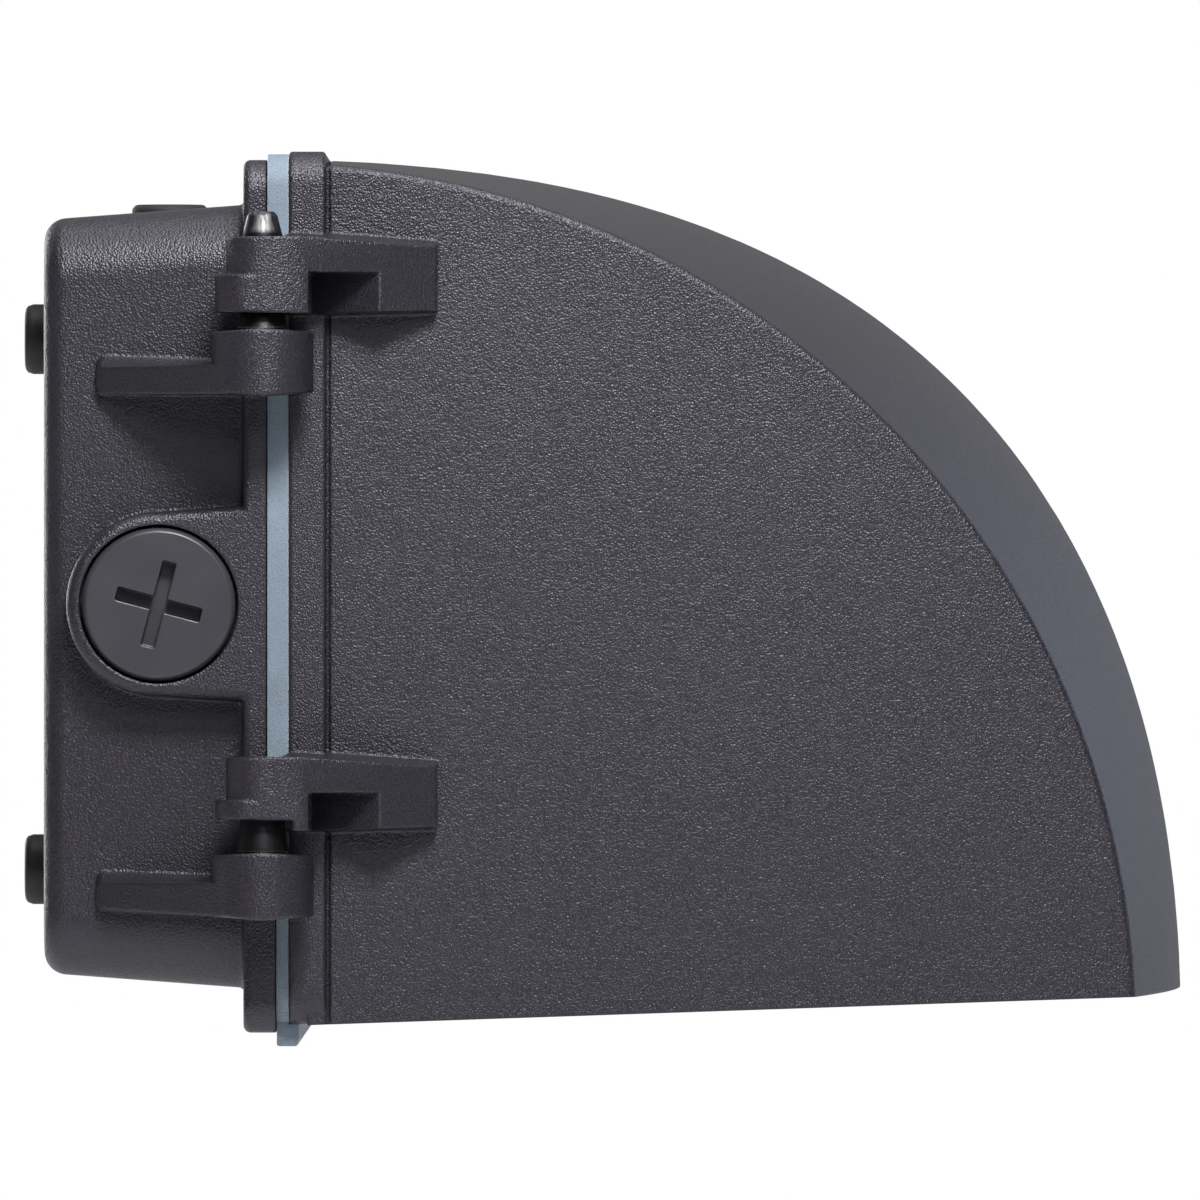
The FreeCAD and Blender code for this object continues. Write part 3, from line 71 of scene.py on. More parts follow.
# ---- node trees ---------------------------------------------------------------------------------
class Tree:
    """A small helper that adds and links the nodes of one material."""

    def __init__(self, name: str) -> None:
        """Starts a material with an empty Principled tree.

        Args:
            name: the material's name.
        """
        self.material = bpy.data.materials.new(name)
        self.material.use_nodes = True
        self.nodes = self.material.node_tree.nodes
        self.links = self.material.node_tree.links
        self.nodes.clear()
        self.output = self.nodes.new("ShaderNodeOutputMaterial")
        self.shader = self.nodes.new("ShaderNodeBsdfPrincipled")
        self.link(self.shader, "BSDF", self.output, "Surface")
        self.place = self.nodes.new("ShaderNodeTexCoord")

    def link(self, source: bpy.types.Node, out: str | int, target: bpy.types.Node, into: str | int) -> None:
        """Joins one node's output to another's input."""
        self.links.new(source.outputs[out], target.inputs[into])

    def add(self, kind: str, **values: object) -> bpy.types.Node:
        """Adds a node.

        Args:
            kind: the node's type.
            values: attributes of the node, or its inputs' values where the name is an input's,
                with spaces written as underscores.

        Returns:
            The new node.
        """
        node = self.nodes.new(kind)
        for key, value in values.items():
            if hasattr(node, key):
                setattr(node, key, value)
            else:
                node.inputs[key.replace("_", " ")].default_value = value
        return node

    def noise(self, size: float, detail: float = 2.0, stretch: Optional[Point] = None) -> bpy.types.Node:
        """Adds noise on Object coordinates.

        Args:
            size: the size of a blotch in metres.
            detail: octaves of finer noise.
            stretch: factors on the coordinates, for a brushed or drawn pattern.

        Returns:
            The noise node.
        """
        node = self.add("ShaderNodeTexNoise", Scale=1.0 / size, Detail=detail)
        if stretch is None:
            self.link(self.place, "Object", node, "Vector")
        else:
            mapping = self.add("ShaderNodeMapping", Scale=stretch)
            self.link(self.place, "Object", mapping, "Vector")
            self.link(mapping, "Vector", node, "Vector")
        return node

    def cells(self, size: float, smoothness: float = 0.0) -> bpy.types.Node:
        """Adds cells of a size in metres on Object coordinates, rounded where a smoothness is given."""
        rounded = {"feature": "SMOOTH_F1", "Smoothness": smoothness} if smoothness else {"feature": "F1"}
        node = self.add("ShaderNodeTexVoronoi", **rounded, Scale=1.0 / size)
        self.link(self.place, "Object", node, "Vector")
        return node

    def ramp(self, source: bpy.types.Node, out: str | int,
             stops: Sequence[tuple[float, Colour | float]]) -> bpy.types.Node:
        """Adds a colour ramp after a node.

        Args:
            source: the node that drives the ramp.
            out: its output.
            stops: (position, colour or grey value) pairs.

        Returns:
            The ramp node.
        """
        node = self.add("ShaderNodeValToRGB")
        ramp = node.color_ramp
        while len(ramp.elements) < len(stops):
            ramp.elements.new(0.5)
        for element, (position, value) in zip(ramp.elements, stops):
            element.position = position
            rgb = value if isinstance(value, tuple) else (value, value, value)
            element.color = (*rgb, 1.0)
        self.link(source, out, node, "Fac")
        return node

    def span(self, source: bpy.types.Node, out: str | int, low: float, high: float) -> bpy.types.Node:
        """Adds a Map Range from 0..1 to low..high after a node."""
        node = self.add("ShaderNodeMapRange", To_Min=low, To_Max=high)
        self.link(source, out, node, "Value")
        return node

    def between(self, source: bpy.types.Node, out: str | int, low: float, high: float) -> bpy.types.Node:
        """Adds a Map Range from low..high to 0..1 after a node."""
        node = self.add("ShaderNodeMapRange", From_Min=low, From_Max=high)
        self.link(source, out, node, "Value")
        return node

    def mixed(self, factor: bpy.types.Node | float, first: bpy.types.Node | Colour,
              second: bpy.types.Node | Colour, blend: str = "MIX") -> bpy.types.Node:
        """Adds a colour mix of two nodes or colours.

        Args:
            factor: a node or a number.
            first: the node or colour at factor 0.
            second: the node or colour at factor 1.
            blend: the blend type.

        Returns:
            The mix node, whose colour is its output 2.
        """
        node = self.add("ShaderNodeMix", data_type="RGBA", blend_type=blend)
        for socket, value in ((0, factor), (6, first), (7, second)):
            if isinstance(value, bpy.types.Node):
                out = 2 if value.bl_idname == "ShaderNodeMix" else 0
                self.links.new(value.outputs[out], node.inputs[socket])
            elif isinstance(value, tuple):
                node.inputs[socket].default_value = (*value, 1.0)
            else:
                node.inputs[socket].default_value = value
        return node

    def bump(self, height: bpy.types.Node, out: str | int, depth: float,
             under: Optional[bpy.types.Node] = None) -> bpy.types.Node:
        """Adds a bump of a real depth in metres, on top of another bump where one is given."""
        node = self.add("ShaderNodeBump", Strength=1.0, Distance=depth)
        self.link(height, out, node, "Height")
        if under is not None:
            self.link(under, "Normal", node, "Normal")
        return node

    def edges(self, radius: float, flat: float = 0.995, worn: float = 0.80) -> bpy.types.Node:
        """Adds a mask that is 1 at worn outer edges, where the rounded and the true normal part.

        Args:
            radius: the rounding's radius in metres.
            flat: the normals' dot product at which the mask is 0.
            worn: the dot product at which it is 1.

        Returns:
            The mask's node.
        """
        soft = self.add("ShaderNodeBevel", samples=4, Radius=radius)
        geometry = self.add("ShaderNodeNewGeometry")
        dot = self.add("ShaderNodeVectorMath", operation="DOT_PRODUCT")
        self.link(soft, "Normal", dot, 0)
        self.link(geometry, "Normal", dot, 1)
        return self.between(dot, "Value", flat, worn)

    def facing(self, axis: str, low: float, high: float) -> bpy.types.Node:
        """Adds a mask that rises from 0 to 1 as the piece's own normal turns to an axis, either way."""
        split = self.add("ShaderNodeSeparateXYZ")
        self.link(self.place, "Normal", split, "Vector")
        size = self.add("ShaderNodeMath", operation="ABSOLUTE")
        self.link(split, axis, size, 0)
        return self.between(size, 0, low, high)

    def paint(self, tone: bpy.types.Node) -> None:
        """Links a node's colour to the shader's base colour."""
        out = 2 if tone.bl_idname == "ShaderNodeMix" else 0
        self.link(tone, out, self.shader, "Base Color")

    def emboss(self, height: bpy.types.Node, out: str | int, depth: float,
               under: Optional[bpy.types.Node] = None) -> None:
        """Links a bump of a real depth in metres to the shader's normal."""
        self.link(self.bump(height, out, depth, under), "Normal", self.shader, "Normal")

    def roughen(self, source: bpy.types.Node, out: str | int, low: float, high: float) -> None:
        """Lets the roughness run from low to high with a node's output."""
        self.link(self.span(source, out, low, high), "Result", self.shader, "Roughness")

    def set(self, **values: object) -> None:
        """Sets constant values on the shader's own sockets, with spaces written as underscores."""
        for key, value in values.items():
            rgba = (*value, 1.0) if isinstance(value, tuple) and len(value) == 3 else value
            self.shader.inputs[key.replace("_", " ")].default_value = rgba


# ---- finishes -----------------------------------------------------------------------------------
def shade(colour: Colour, factor: float) -> Colour:
    """Makes a colour darker or lighter, up to white."""
    return tuple(min(1.0, factor * channel) for channel in colour)


@dataclass(frozen=True)
class Surface:
    """What every finish has: a name, and nodes of its own on one material's tree."""

    name: str

    def dress(self, tree: Tree) -> None:
        """Adds the finish's nodes to a tree."""
        raise NotImplementedError

    def make(self) -> bpy.types.Material:
        """Builds the material.

        Returns:
            The finished material.
        """
        tree = Tree(self.name)
        self.dress(tree)
        return tree.material


@dataclass(frozen=True)
class PowderCoat(Surface):
    """Leather-grain powder coat on a casting, with painted light and shade on its grain."""

    dark: Colour = (0.0195, 0.0170, 0.0240)
    light: Colour = (0.0230, 0.0205, 0.0280)
    patch: float = 60 * MM
    grain: float = 0.41 * MM
    depth: float = 0.115 * MM
    smoothness: float = 0.35
    # Grey factors on the pebble pattern: lighter on the pebble tops as a painted highlight, darker in the
    # hollows as painted shade.
    pebble_light_and_shade: tuple[tuple[float, float], ...] = ((0.15, 1.1), (0.65, 0.5))
    roughness: tuple[float, float] = (0.31, 0.49)
    rounding: float = 0.9 * MM
    gloss_tint: Colour = (0.93, 0.90, 1.0)

    def dress(self, tree: Tree) -> None:
        """Adds the finish's nodes to a tree."""
        patches = tree.noise(self.patch, 3.0)
        tone = tree.ramp(patches, "Fac", [(0.3, self.dark), (0.7, self.light)])
        pebbles = tree.cells(self.grain, self.smoothness)
        # Painted light and shade: the colour is multiplied lighter on the pebbles and darker in the hollows
        # between them.
        pebble_shading = tree.ramp(pebbles, "Distance", self.pebble_light_and_shade)
        tree.paint(tree.mixed(1.0, tone, pebble_shading, "MULTIPLY"))
        corners = tree.add("ShaderNodeBevel", samples=8, Radius=self.rounding)
        wrinkle = tree.noise(1.7 * self.grain, 1.0)
        under = tree.bump(wrinkle, "Fac", 0.5 * self.depth, corners)
        tree.emboss(pebbles, "Distance", -self.depth, under)
        tree.roughen(pebbles, "Distance", *self.roughness)
        tree.set(IOR=1.6, Specular_Tint=self.gloss_tint)


@dataclass(frozen=True)
class SmoothPaint(Surface):
    """Smooth semi-gloss paint with a faint orange peel."""

    colour: Colour
    roughness: float = 0.33
    cloud: float = 9 * MM
    peel: float = 1.6 * MM
    peel_depth: float = 0.012 * MM

    def dress(self, tree: Tree) -> None:
        """Adds the finish's nodes to a tree."""
        cloud = tree.noise(self.cloud, 4.0)
        tree.paint(tree.ramp(cloud, "Fac", [(0.3, shade(self.colour, 0.86)), (0.7, self.colour)]))
        tree.emboss(tree.noise(self.peel, 1.0), "Fac", self.peel_depth)
        tree.roughen(cloud, "Fac", self.roughness - 0.06, self.roughness + 0.08)


@dataclass(frozen=True)
class Moulded(Surface):
    """Moulded rubber or plastic: one tone with faint mottling and a fine matt skin, and on request pores
    with painted shade in them and a painted highlight along its edges.
    """

    colour: Colour
    roughness: float = 0.6
    skin: float = 0.5 * MM
    depth: float = 0.02 * MM
    sheen: float = 0.0
    # Pores add a bump and painted shade inside them.
    shaded_pores: bool = False
    # A paler colour where the surface turns towards X: a painted highlight along the edges.
    edge_highlight: Optional[Colour] = None
    mottling: float = 14 * MM

    def dress(self, tree: Tree) -> None:
        """Adds the finish's nodes to a tree."""
        cloud = tree.noise(self.mottling, 5.0)
        tone = tree.ramp(cloud, "Fac", [(0.25, shade(self.colour, 0.78)), (0.75, shade(self.colour, 1.12))])
        if self.shaded_pores:
            cells = tree.cells(self.skin)
            # Painted shade: the colour darkens towards each pore's middle, where shade falls in the hole.
            pore_shade = tree.ramp(cells, "Distance", [(0.05, 0.62), (0.35, 1.0)])
            tone = tree.mixed(1.0, tone, pore_shade, "MULTIPLY")
            tree.emboss(cells, "Distance", self.depth)
        else:
            tree.emboss(tree.noise(self.skin, 2.0), "Fac", self.depth)
        # Painted highlight: paler colour where the normal turns towards X, for light lines along the edges.
        if self.edge_highlight is not None:
            tone = tree.mixed(tree.facing("X", 0.12, 0.5), tone, self.edge_highlight)
        tree.paint(tone)
        tree.roughen(cloud, "Fac", self.roughness - 0.07, self.roughness + 0.1)
        if self.sheen:
            tree.set(Sheen_Weight=self.sheen, Sheen_Roughness=0.4)


class Grain(Enum):
    """The mark that a metal's making leaves on it."""

    TURNED = (1.0, 1.0, 40.0)
    BRUSHED = (40.0, 1.0, 1.0)
    ROLLED = (1.0, 30.0, 1.0)
    SPANGLED = (1.0, 1.0, 1.0)


@dataclass(frozen=True)
class Metal(Surface):
    """Bare or plated metal with the grain of its making, and on request a painted highlight above a height.
    """

    colour: Colour
    roughness: float = 0.3
    grain: Grain = Grain.BRUSHED
    mark: float = 2.0 * MM
    depth: float = 0.004 * MM
    # The worn colour marks worn edges; above the height in the next field it is also laid on as a painted
    # highlight.
    worn: Optional[Colour] = None
    highlight_above: Optional[float] = None
    wear: float = 0.5 * MM
    streak: float = 2.2 * MM

    def tip_highlight_mask(self, tree: Tree) -> bpy.types.Node:
        """Adds a streaky mask that is 0 below a height in metres and uneven above it, for a painted
        highlight on a tip.
        """
        split = tree.add("ShaderNodeSeparateXYZ")
        tree.link(tree.place, "Object", split, "Vector")
        height = tree.between(split, "Z", self.highlight_above - 0.3 * MM, self.highlight_above + 0.6 * MM)
        streaks = tree.noise(self.streak, 2.0, stretch=(1.0, 1.0, 0.25))
        uneven = tree.ramp(streaks, "Fac", [(0.44, 0.12), (0.56, 1.0)])
        both = tree.add("ShaderNodeMath", operation="MULTIPLY")
        tree.link(height, "Result", both, 0)
        tree.link(uneven, "Color", both, 1)
        return both

    def dress(self, tree: Tree) -> None:
        """Adds the finish's nodes to a tree."""
        marks = tree.noise(self.mark, 3.0, stretch=self.grain.value)
        cloud = tree.noise(self.mark * 6, 3.0)
        tone = tree.ramp(marks, "Fac", [(0.3, shade(self.colour, 0.8)), (0.7, self.colour)])
        if self.worn is not None:
            tone = tree.mixed(tree.edges(self.wear), tone, self.worn)
        # Painted highlight: above that height, vertical streaks of the worn colour stand in for the bright
        # band of light on the tip.
        if self.highlight_above is not None:
            tone = tree.mixed(self.tip_highlight_mask(tree), tone, self.worn)
        tree.paint(tone)
        tree.emboss(marks, "Fac", self.depth)
        tree.roughen(cloud, "Fac", self.roughness - 0.08, self.roughness + 0.12)
        tree.set(Metallic=1.0)


@dataclass(frozen=True)
class Clear(Surface):
    """Glass or clear plastic, with the faint tint and haze that each has."""

    tint: Colour
    roughness: float = 0.02
    ior: float = 1.5
    haze: float = 30 * MM

    def dress(self, tree: Tree) -> None:
        """Adds the finish's nodes to a tree."""
        haze = tree.noise(self.haze, 3.0)
        paler = tuple((1.0 + channel) / 2 for channel in self.tint)
        tree.paint(tree.ramp(haze, "Fac", [(0.3, self.tint), (0.7, paler)]))
        tree.roughen(haze, "Fac", self.roughness, self.roughness + 0.03)
        tree.set(Transmission_Weight=1.0, IOR=self.ior)


@dataclass(frozen=True)
class CircuitBoard(Surface):
    """White solder mask with the copper areas under it just showing."""

    mask: Colour = (0.80, 0.80, 0.77)
    over_copper: Colour = (0.72, 0.72, 0.70)
    land: float = 31 * MM
    land_depth: float = 0.03 * MM
    gloss_patch: float = 12 * MM

    def dress(self, tree: Tree) -> None:
        """Adds the finish's nodes to a tree."""
        copper = (*self.over_copper, 1.0)
        lands = tree.add("ShaderNodeTexBrick", Scale=1.0 / self.land, Mortar_Size=0.012, offset=0.0,
                         Brick_Width=1.0, Row_Height=0.42, Color1=copper, Color2=copper,
                         Mortar=(*self.mask, 1.0))
        turn = tree.add("ShaderNodeMapping", Rotation=(0.0, 0.0, math.pi / 2))
        tree.link(tree.place, "Object", turn, "Vector")
        tree.link(turn, "Vector", lands, "Vector")
        tree.paint(lands)
        tree.emboss(lands, "Fac", self.land_depth)
        tree.roughen(tree.noise(self.gloss_patch, 3.0), "Fac", 0.22, 0.38)


class Finish(Enum):
    """Every finish of the light, by the record's slot that it dresses."""

    BOX_COAT = ("painted_casting", PowderCoat("box_powder_coat"))
    HOOD_COAT = ("painted_casting", PowderCoat("hood_powder_coat", grain=0.37 * MM, depth=0.124 * MM))
    PLUG = ("painted_plug", SmoothPaint("plug_paint", (0.050, 0.047, 0.057)))
    GROMMET = ("black_rubber", Moulded("grommet_rubber", (0.012, 0.012, 0.014), 0.55))
    # The sponge's last colour is a painted highlight along its edges.
    SPONGE = ("sponge_rubber", Moulded("sponge_gasket", (0.215, 0.268, 0.332), 0.7, 0.4 * MM, 0.05 * MM,
                                       0.3, True, (0.46, 0.52, 0.60)))
    SEAL = ("silicone_rubber", Moulded("seal_silicone", (0.03, 0.03, 0.032), 0.5))
    NYLON = ("black_nylon", Moulded("black_nylon", (0.014, 0.014, 0.016), 0.45))
    BLOCK = ("grey_nylon", Moulded("terminal_nylon", (0.52, 0.52, 0.49), 0.45))
    # The pin's worn colour marks its worn edges, and above 70.6 mm it is a painted highlight on the tip.
    PIN = ("pin_steel", Metal("blackened_pin", (0.035, 0.034, 0.037), 0.42, Grain.TURNED, 2.0 * MM,
                              0.01 * MM, (0.30, 0.30, 0.30), 70.6 * MM))
    SCREW = ("screw_steel", Metal("zinc_plate", (0.62, 0.63, 0.65), 0.26, Grain.TURNED))
    SHEET = ("sheet_steel", Metal("galvanised_sheet", (0.58, 0.60, 0.62), 0.36, Grain.SPANGLED, 7.0 * MM))
    TRAY = ("plain_aluminium", Metal("mill_aluminium", (0.74, 0.75, 0.76), 0.34, Grain.BRUSHED))
    DRIVER = ("driver_case", SmoothPaint("driver_enamel", (0.60, 0.60, 0.58), 0.42))
    BOARD = ("white_mask", CircuitBoard("board_mask"))
    PACKAGE = ("white_mask", Moulded("emitter_package", (0.80, 0.80, 0.78), 0.35, 0.3 * MM, 0.004 * MM))
    PHOSPHOR = ("phosphor", Moulded("phosphor_silicone", (0.78, 0.55, 0.07), 0.3, 0.3 * MM, 0.005 * MM))
    OPTIC = ("clear_acrylic", Clear("optic_acrylic", (0.96, 0.97, 0.97), 0.03, 1.49))
    MIRROR = ("mirror_sheet", Metal("bright_reflector", (0.90, 0.90, 0.90), 0.12, Grain.ROLLED, 3.0 * MM))
    LENS = ("lens_glass", Clear("tempered_glass", (0.93, 0.97, 0.955), 0.0, 1.52))

    @property
    def slot(self) -> str:
        """The record's material slot."""
        return self.value[0]

    @property
    def material(self) -> bpy.types.Material:
        """The material, built on its first use."""
        recipe = self.value[1]
        return bpy.data.materials.get(recipe.name) or recipe.make()


# ---- mesh work ----------------------------------------------------------------------------------
def select_only(*objects: bpy.types.Object) -> None:
    """Selects these objects alone and makes the first one active."""
    if bpy.context.mode != "OBJECT":
        bpy.ops.object.mode_set(mode="OBJECT")
    bpy.ops.object.select_all(action="DESELECT")
    for obj in objects:
        obj.select_set(True)
    bpy.context.view_layer.objects.active = objects[0]


def pick_faces(obj: bpy.types.Object, test: Callable[[bpy.types.MeshPolygon], bool]) -> None:
    """Selects, in object mode, the faces that pass a test and nothing else.

    Args:
        obj: the object.
        test: says of a face whether it is wanted.
    """
    mesh = obj.data
    mesh.vertices.foreach_set("select", [False] * len(mesh.vertices))
    mesh.edges.foreach_set("select", [False] * len(mesh.edges))
    mesh.polygons.foreach_set("select", [bool(test(face)) for face in mesh.polygons])


def is_top(face: bpy.types.MeshPolygon) -> bool:
    """Says whether a face looks up."""
    return face.normal.z > 0.9


def is_foot(face: bpy.types.MeshPolygon) -> bool:
    """Says whether a face looks down."""
    return face.normal.z < -0.9


def edit(obj: bpy.types.Object, *steps: Callable[[], object], mode: str = "FACE") -> None:
    """Runs edit-mode steps on one object.

    Args:
        obj: the object.
        steps: calls to make in edit mode.
        mode: the select mode.
    """
    select_only(obj)
    bpy.ops.object.mode_set(mode="EDIT")
    bpy.ops.mesh.select_mode(type=mode)
    for step in steps:
        step()
    bpy.ops.object.mode_set(mode="OBJECT")


def drop(obj: bpy.types.Object) -> None:
    """Removes an object and its mesh."""
    mesh = obj.data
    bpy.data.objects.remove(obj)
    bpy.data.meshes.remove(mesh)


def modify(obj: bpy.types.Object, kind: str, **values: object) -> None:
    """Adds a modifier with these settings and applies it."""
    select_only(obj)
    modifier = obj.modifiers.new(kind.lower(), kind)
    for key, value in values.items():
        setattr(modifier, key, value)
    bpy.ops.object.modifier_apply(modifier=modifier.name)


def settle(obj: bpy.types.Object, smooth_deg: float = 35.0) -> bpy.types.Object:
    """Applies an object's place, turns its faces outwards and smooths its round stretches.

    Args:
        obj: the object.
        smooth_deg: faces that meet at less than this angle are shaded smooth.

    Returns:
        The same object.
    """
    select_only(obj)
    bpy.ops.object.transform_apply(location=True, rotation=True, scale=True)
    bpy.ops.object.shade_smooth_by_angle(angle=math.radians(smooth_deg))
    modify(obj, "WEIGHTED_NORMAL", keep_sharp=True, weight=80)
    return obj


def merged_copy(node: str, name: str) -> bpy.types.Object:
    """Copies a CAD node as one connected mesh with whole flat faces.

    Args:
        node: the CAD node.
        name: the copy's name.

    Returns:
        The copy, which rides on nothing yet.
    """
    select_only(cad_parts[node])
    bpy.ops.object.duplicate()
    copy = bpy.context.view_layer.objects.active
    copy.name = name
    copy.parent = None
    for key in list(copy.keys()):
        del copy[key]
    copy.data.materials.clear()
    if copy.data.has_custom_normals:
        bpy.ops.mesh.customdata_custom_splitnormals_clear()
    edit(copy,
         lambda: bpy.ops.mesh.select_all(action="SELECT"),
         lambda: bpy.ops.mesh.remove_doubles(threshold=0.002 * MM),
         lambda: bpy.ops.mesh.dissolve_limited(angle_limit=math.radians(0.4)))
    return copy


def loose_boxes(node: str) -> list[tuple[Vector, Vector]]:
    """Finds the separate solids of a CAD node.

    Args:
        node: the CAD node.

    Returns:
        The lowest and highest corner of each solid, from the rear to the front and then by width.
    """
    whole = merged_copy(node, "scratch_split")
    edit(whole, lambda: bpy.ops.mesh.select_all(action="SELECT"),
         lambda: bpy.ops.mesh.separate(type="LOOSE"))
    boxes = []
    for part in list(bpy.context.selected_objects):
        corners = [v.co for v in part.data.vertices]
        low = Vector([min(c[i] for c in corners) for i in range(3)])
        high = Vector([max(c[i] for c in corners) for i in range(3)])
        boxes.append((low, high))
        drop(part)
    return sorted(boxes, key=lambda b: (round(b[0].x, 3), b[0].y))


def block(name: str, size: Point, middle: Sequence[float] = (0.0, 0.0, 0.0)) -> bpy.types.Object:
    """Adds a cube made into a block of this size.

    Args:
        name: the block's name.
        size: its length along each axis.
        middle: its middle.

    Returns:
        The block, with its place and size in its mesh.
    """
    bpy.ops.object.select_all(action="DESELECT")
    bpy.ops.mesh.primitive_cube_add(size=1.0, location=middle)
    made = bpy.context.view_layer.objects.active
    made.name = name
    made.scale = size
    bpy.ops.object.transform_apply(location=True, rotation=True, scale=True)
    return made


def taper(share: float) -> None:
    """Narrows what is picked in edit mode towards the Z axis, to this share of its width."""
    bpy.ops.transform.resize(value=(share, share, 1.0), center_override=(0, 0, 0))


def push(advance: float) -> None:
    """Extrudes what is picked in edit mode along Z."""
    bpy.ops.mesh.extrude_region_move(TRANSFORM_OT_translate={"value": (0, 0, advance)})


def draw_out(piece: bpy.types.Object, radius: float, steps: Steps) -> None:
    """Draws a round piece out from its picked end face.

    Args:
        piece: the piece.
        radius: the end face's radius.
        steps: (advance along Z, new radius) of each extrusion.
    """
    select_only(piece)
    bpy.ops.object.mode_set(mode="EDIT")
    bpy.ops.mesh.select_mode(type="FACE")
    for advance, wanted in steps:
        push(advance)
        taper(wanted / radius)
        radius = wanted
    bpy.ops.object.mode_set(mode="OBJECT")


def turned(name: str, radius: float, height: float, steps: Steps, sides: int = 32) -> bpy.types.Object:
    """Draws a round piece out along +Z from a short cylinder on the origin.

    Args:
        name: the piece's name.
        radius: the cylinder's radius.
        height: the cylinder's height.
        steps: (advance, new radius) of each extrusion of the end face.
        sides: how many sides the piece has.

    Returns:
        The closed piece, standing on the origin.
    """
    bpy.ops.object.select_all(action="DESELECT")
    bpy.ops.mesh.primitive_cylinder_add(vertices=sides, radius=radius, depth=height,
                                        location=(0, 0, height / 2))
    piece = bpy.context.view_layer.objects.active
    piece.name = name
    bpy.ops.object.transform_apply(location=True, rotation=True, scale=True)
    pick_faces(piece, is_top)
    draw_out(piece, radius, steps)
    return piece


def carve(piece: bpy.types.Object, tool: bpy.types.Object, operation: str = "DIFFERENCE") -> None:
    """Cuts a tool out of a piece, or joins it on, and drops the tool."""
    modify(piece, "BOOLEAN", object=tool, operation=operation, solver="EXACT")
    drop(tool)


def stood(template: bpy.types.Object, seat: Vector, out: Vector) -> bpy.types.Object:
    """Copies a piece that stands on the origin, with its own mesh, and stands it on a seat.

    Args:
        template: the piece.
        seat: where the copy's origin goes.
        out: where the copy's +Z points.

    Returns:
        The copy.
    """
    select_only(template)
    bpy.ops.object.duplicate()
    copy = bpy.context.view_layer.objects.active
    copy.rotation_mode = "QUATERNION"
    copy.rotation_quaternion = Vector((0, 0, 1)).rotation_difference(out)
    copy.location = seat
    return copy


def repeated(template: bpy.types.Object, seats: Iterable[Vector], out: Vector,
             name: str) -> bpy.types.Object:
    """Stands a copy of a piece on every seat, joins the copies and drops the template.

    Args:
        template: the piece, standing on the origin.
        seats: where the copies' origins go.
        out: where their +Z points.
        name: the whole's name.

    Returns:
        The copies as one piece.
    """
    select_only(*[stood(template, seat, out) for seat in seats])
    if len(bpy.context.selected_objects) > 1:
        bpy.ops.object.join()
    whole = bpy.context.view_layer.objects.active
    whole.name = name
    whole.rotation_mode = "XYZ"
    drop(template)
    return settle(whole)


HEX_SIDES = 6


class Drive(Enum):
    """The recess in a screw's head: its width and reach by head radius, and its depth by head height."""

    CROSS = (0.27, 0.485, 0.62)
    SLOT = (0.24, 1.2, 0.5)


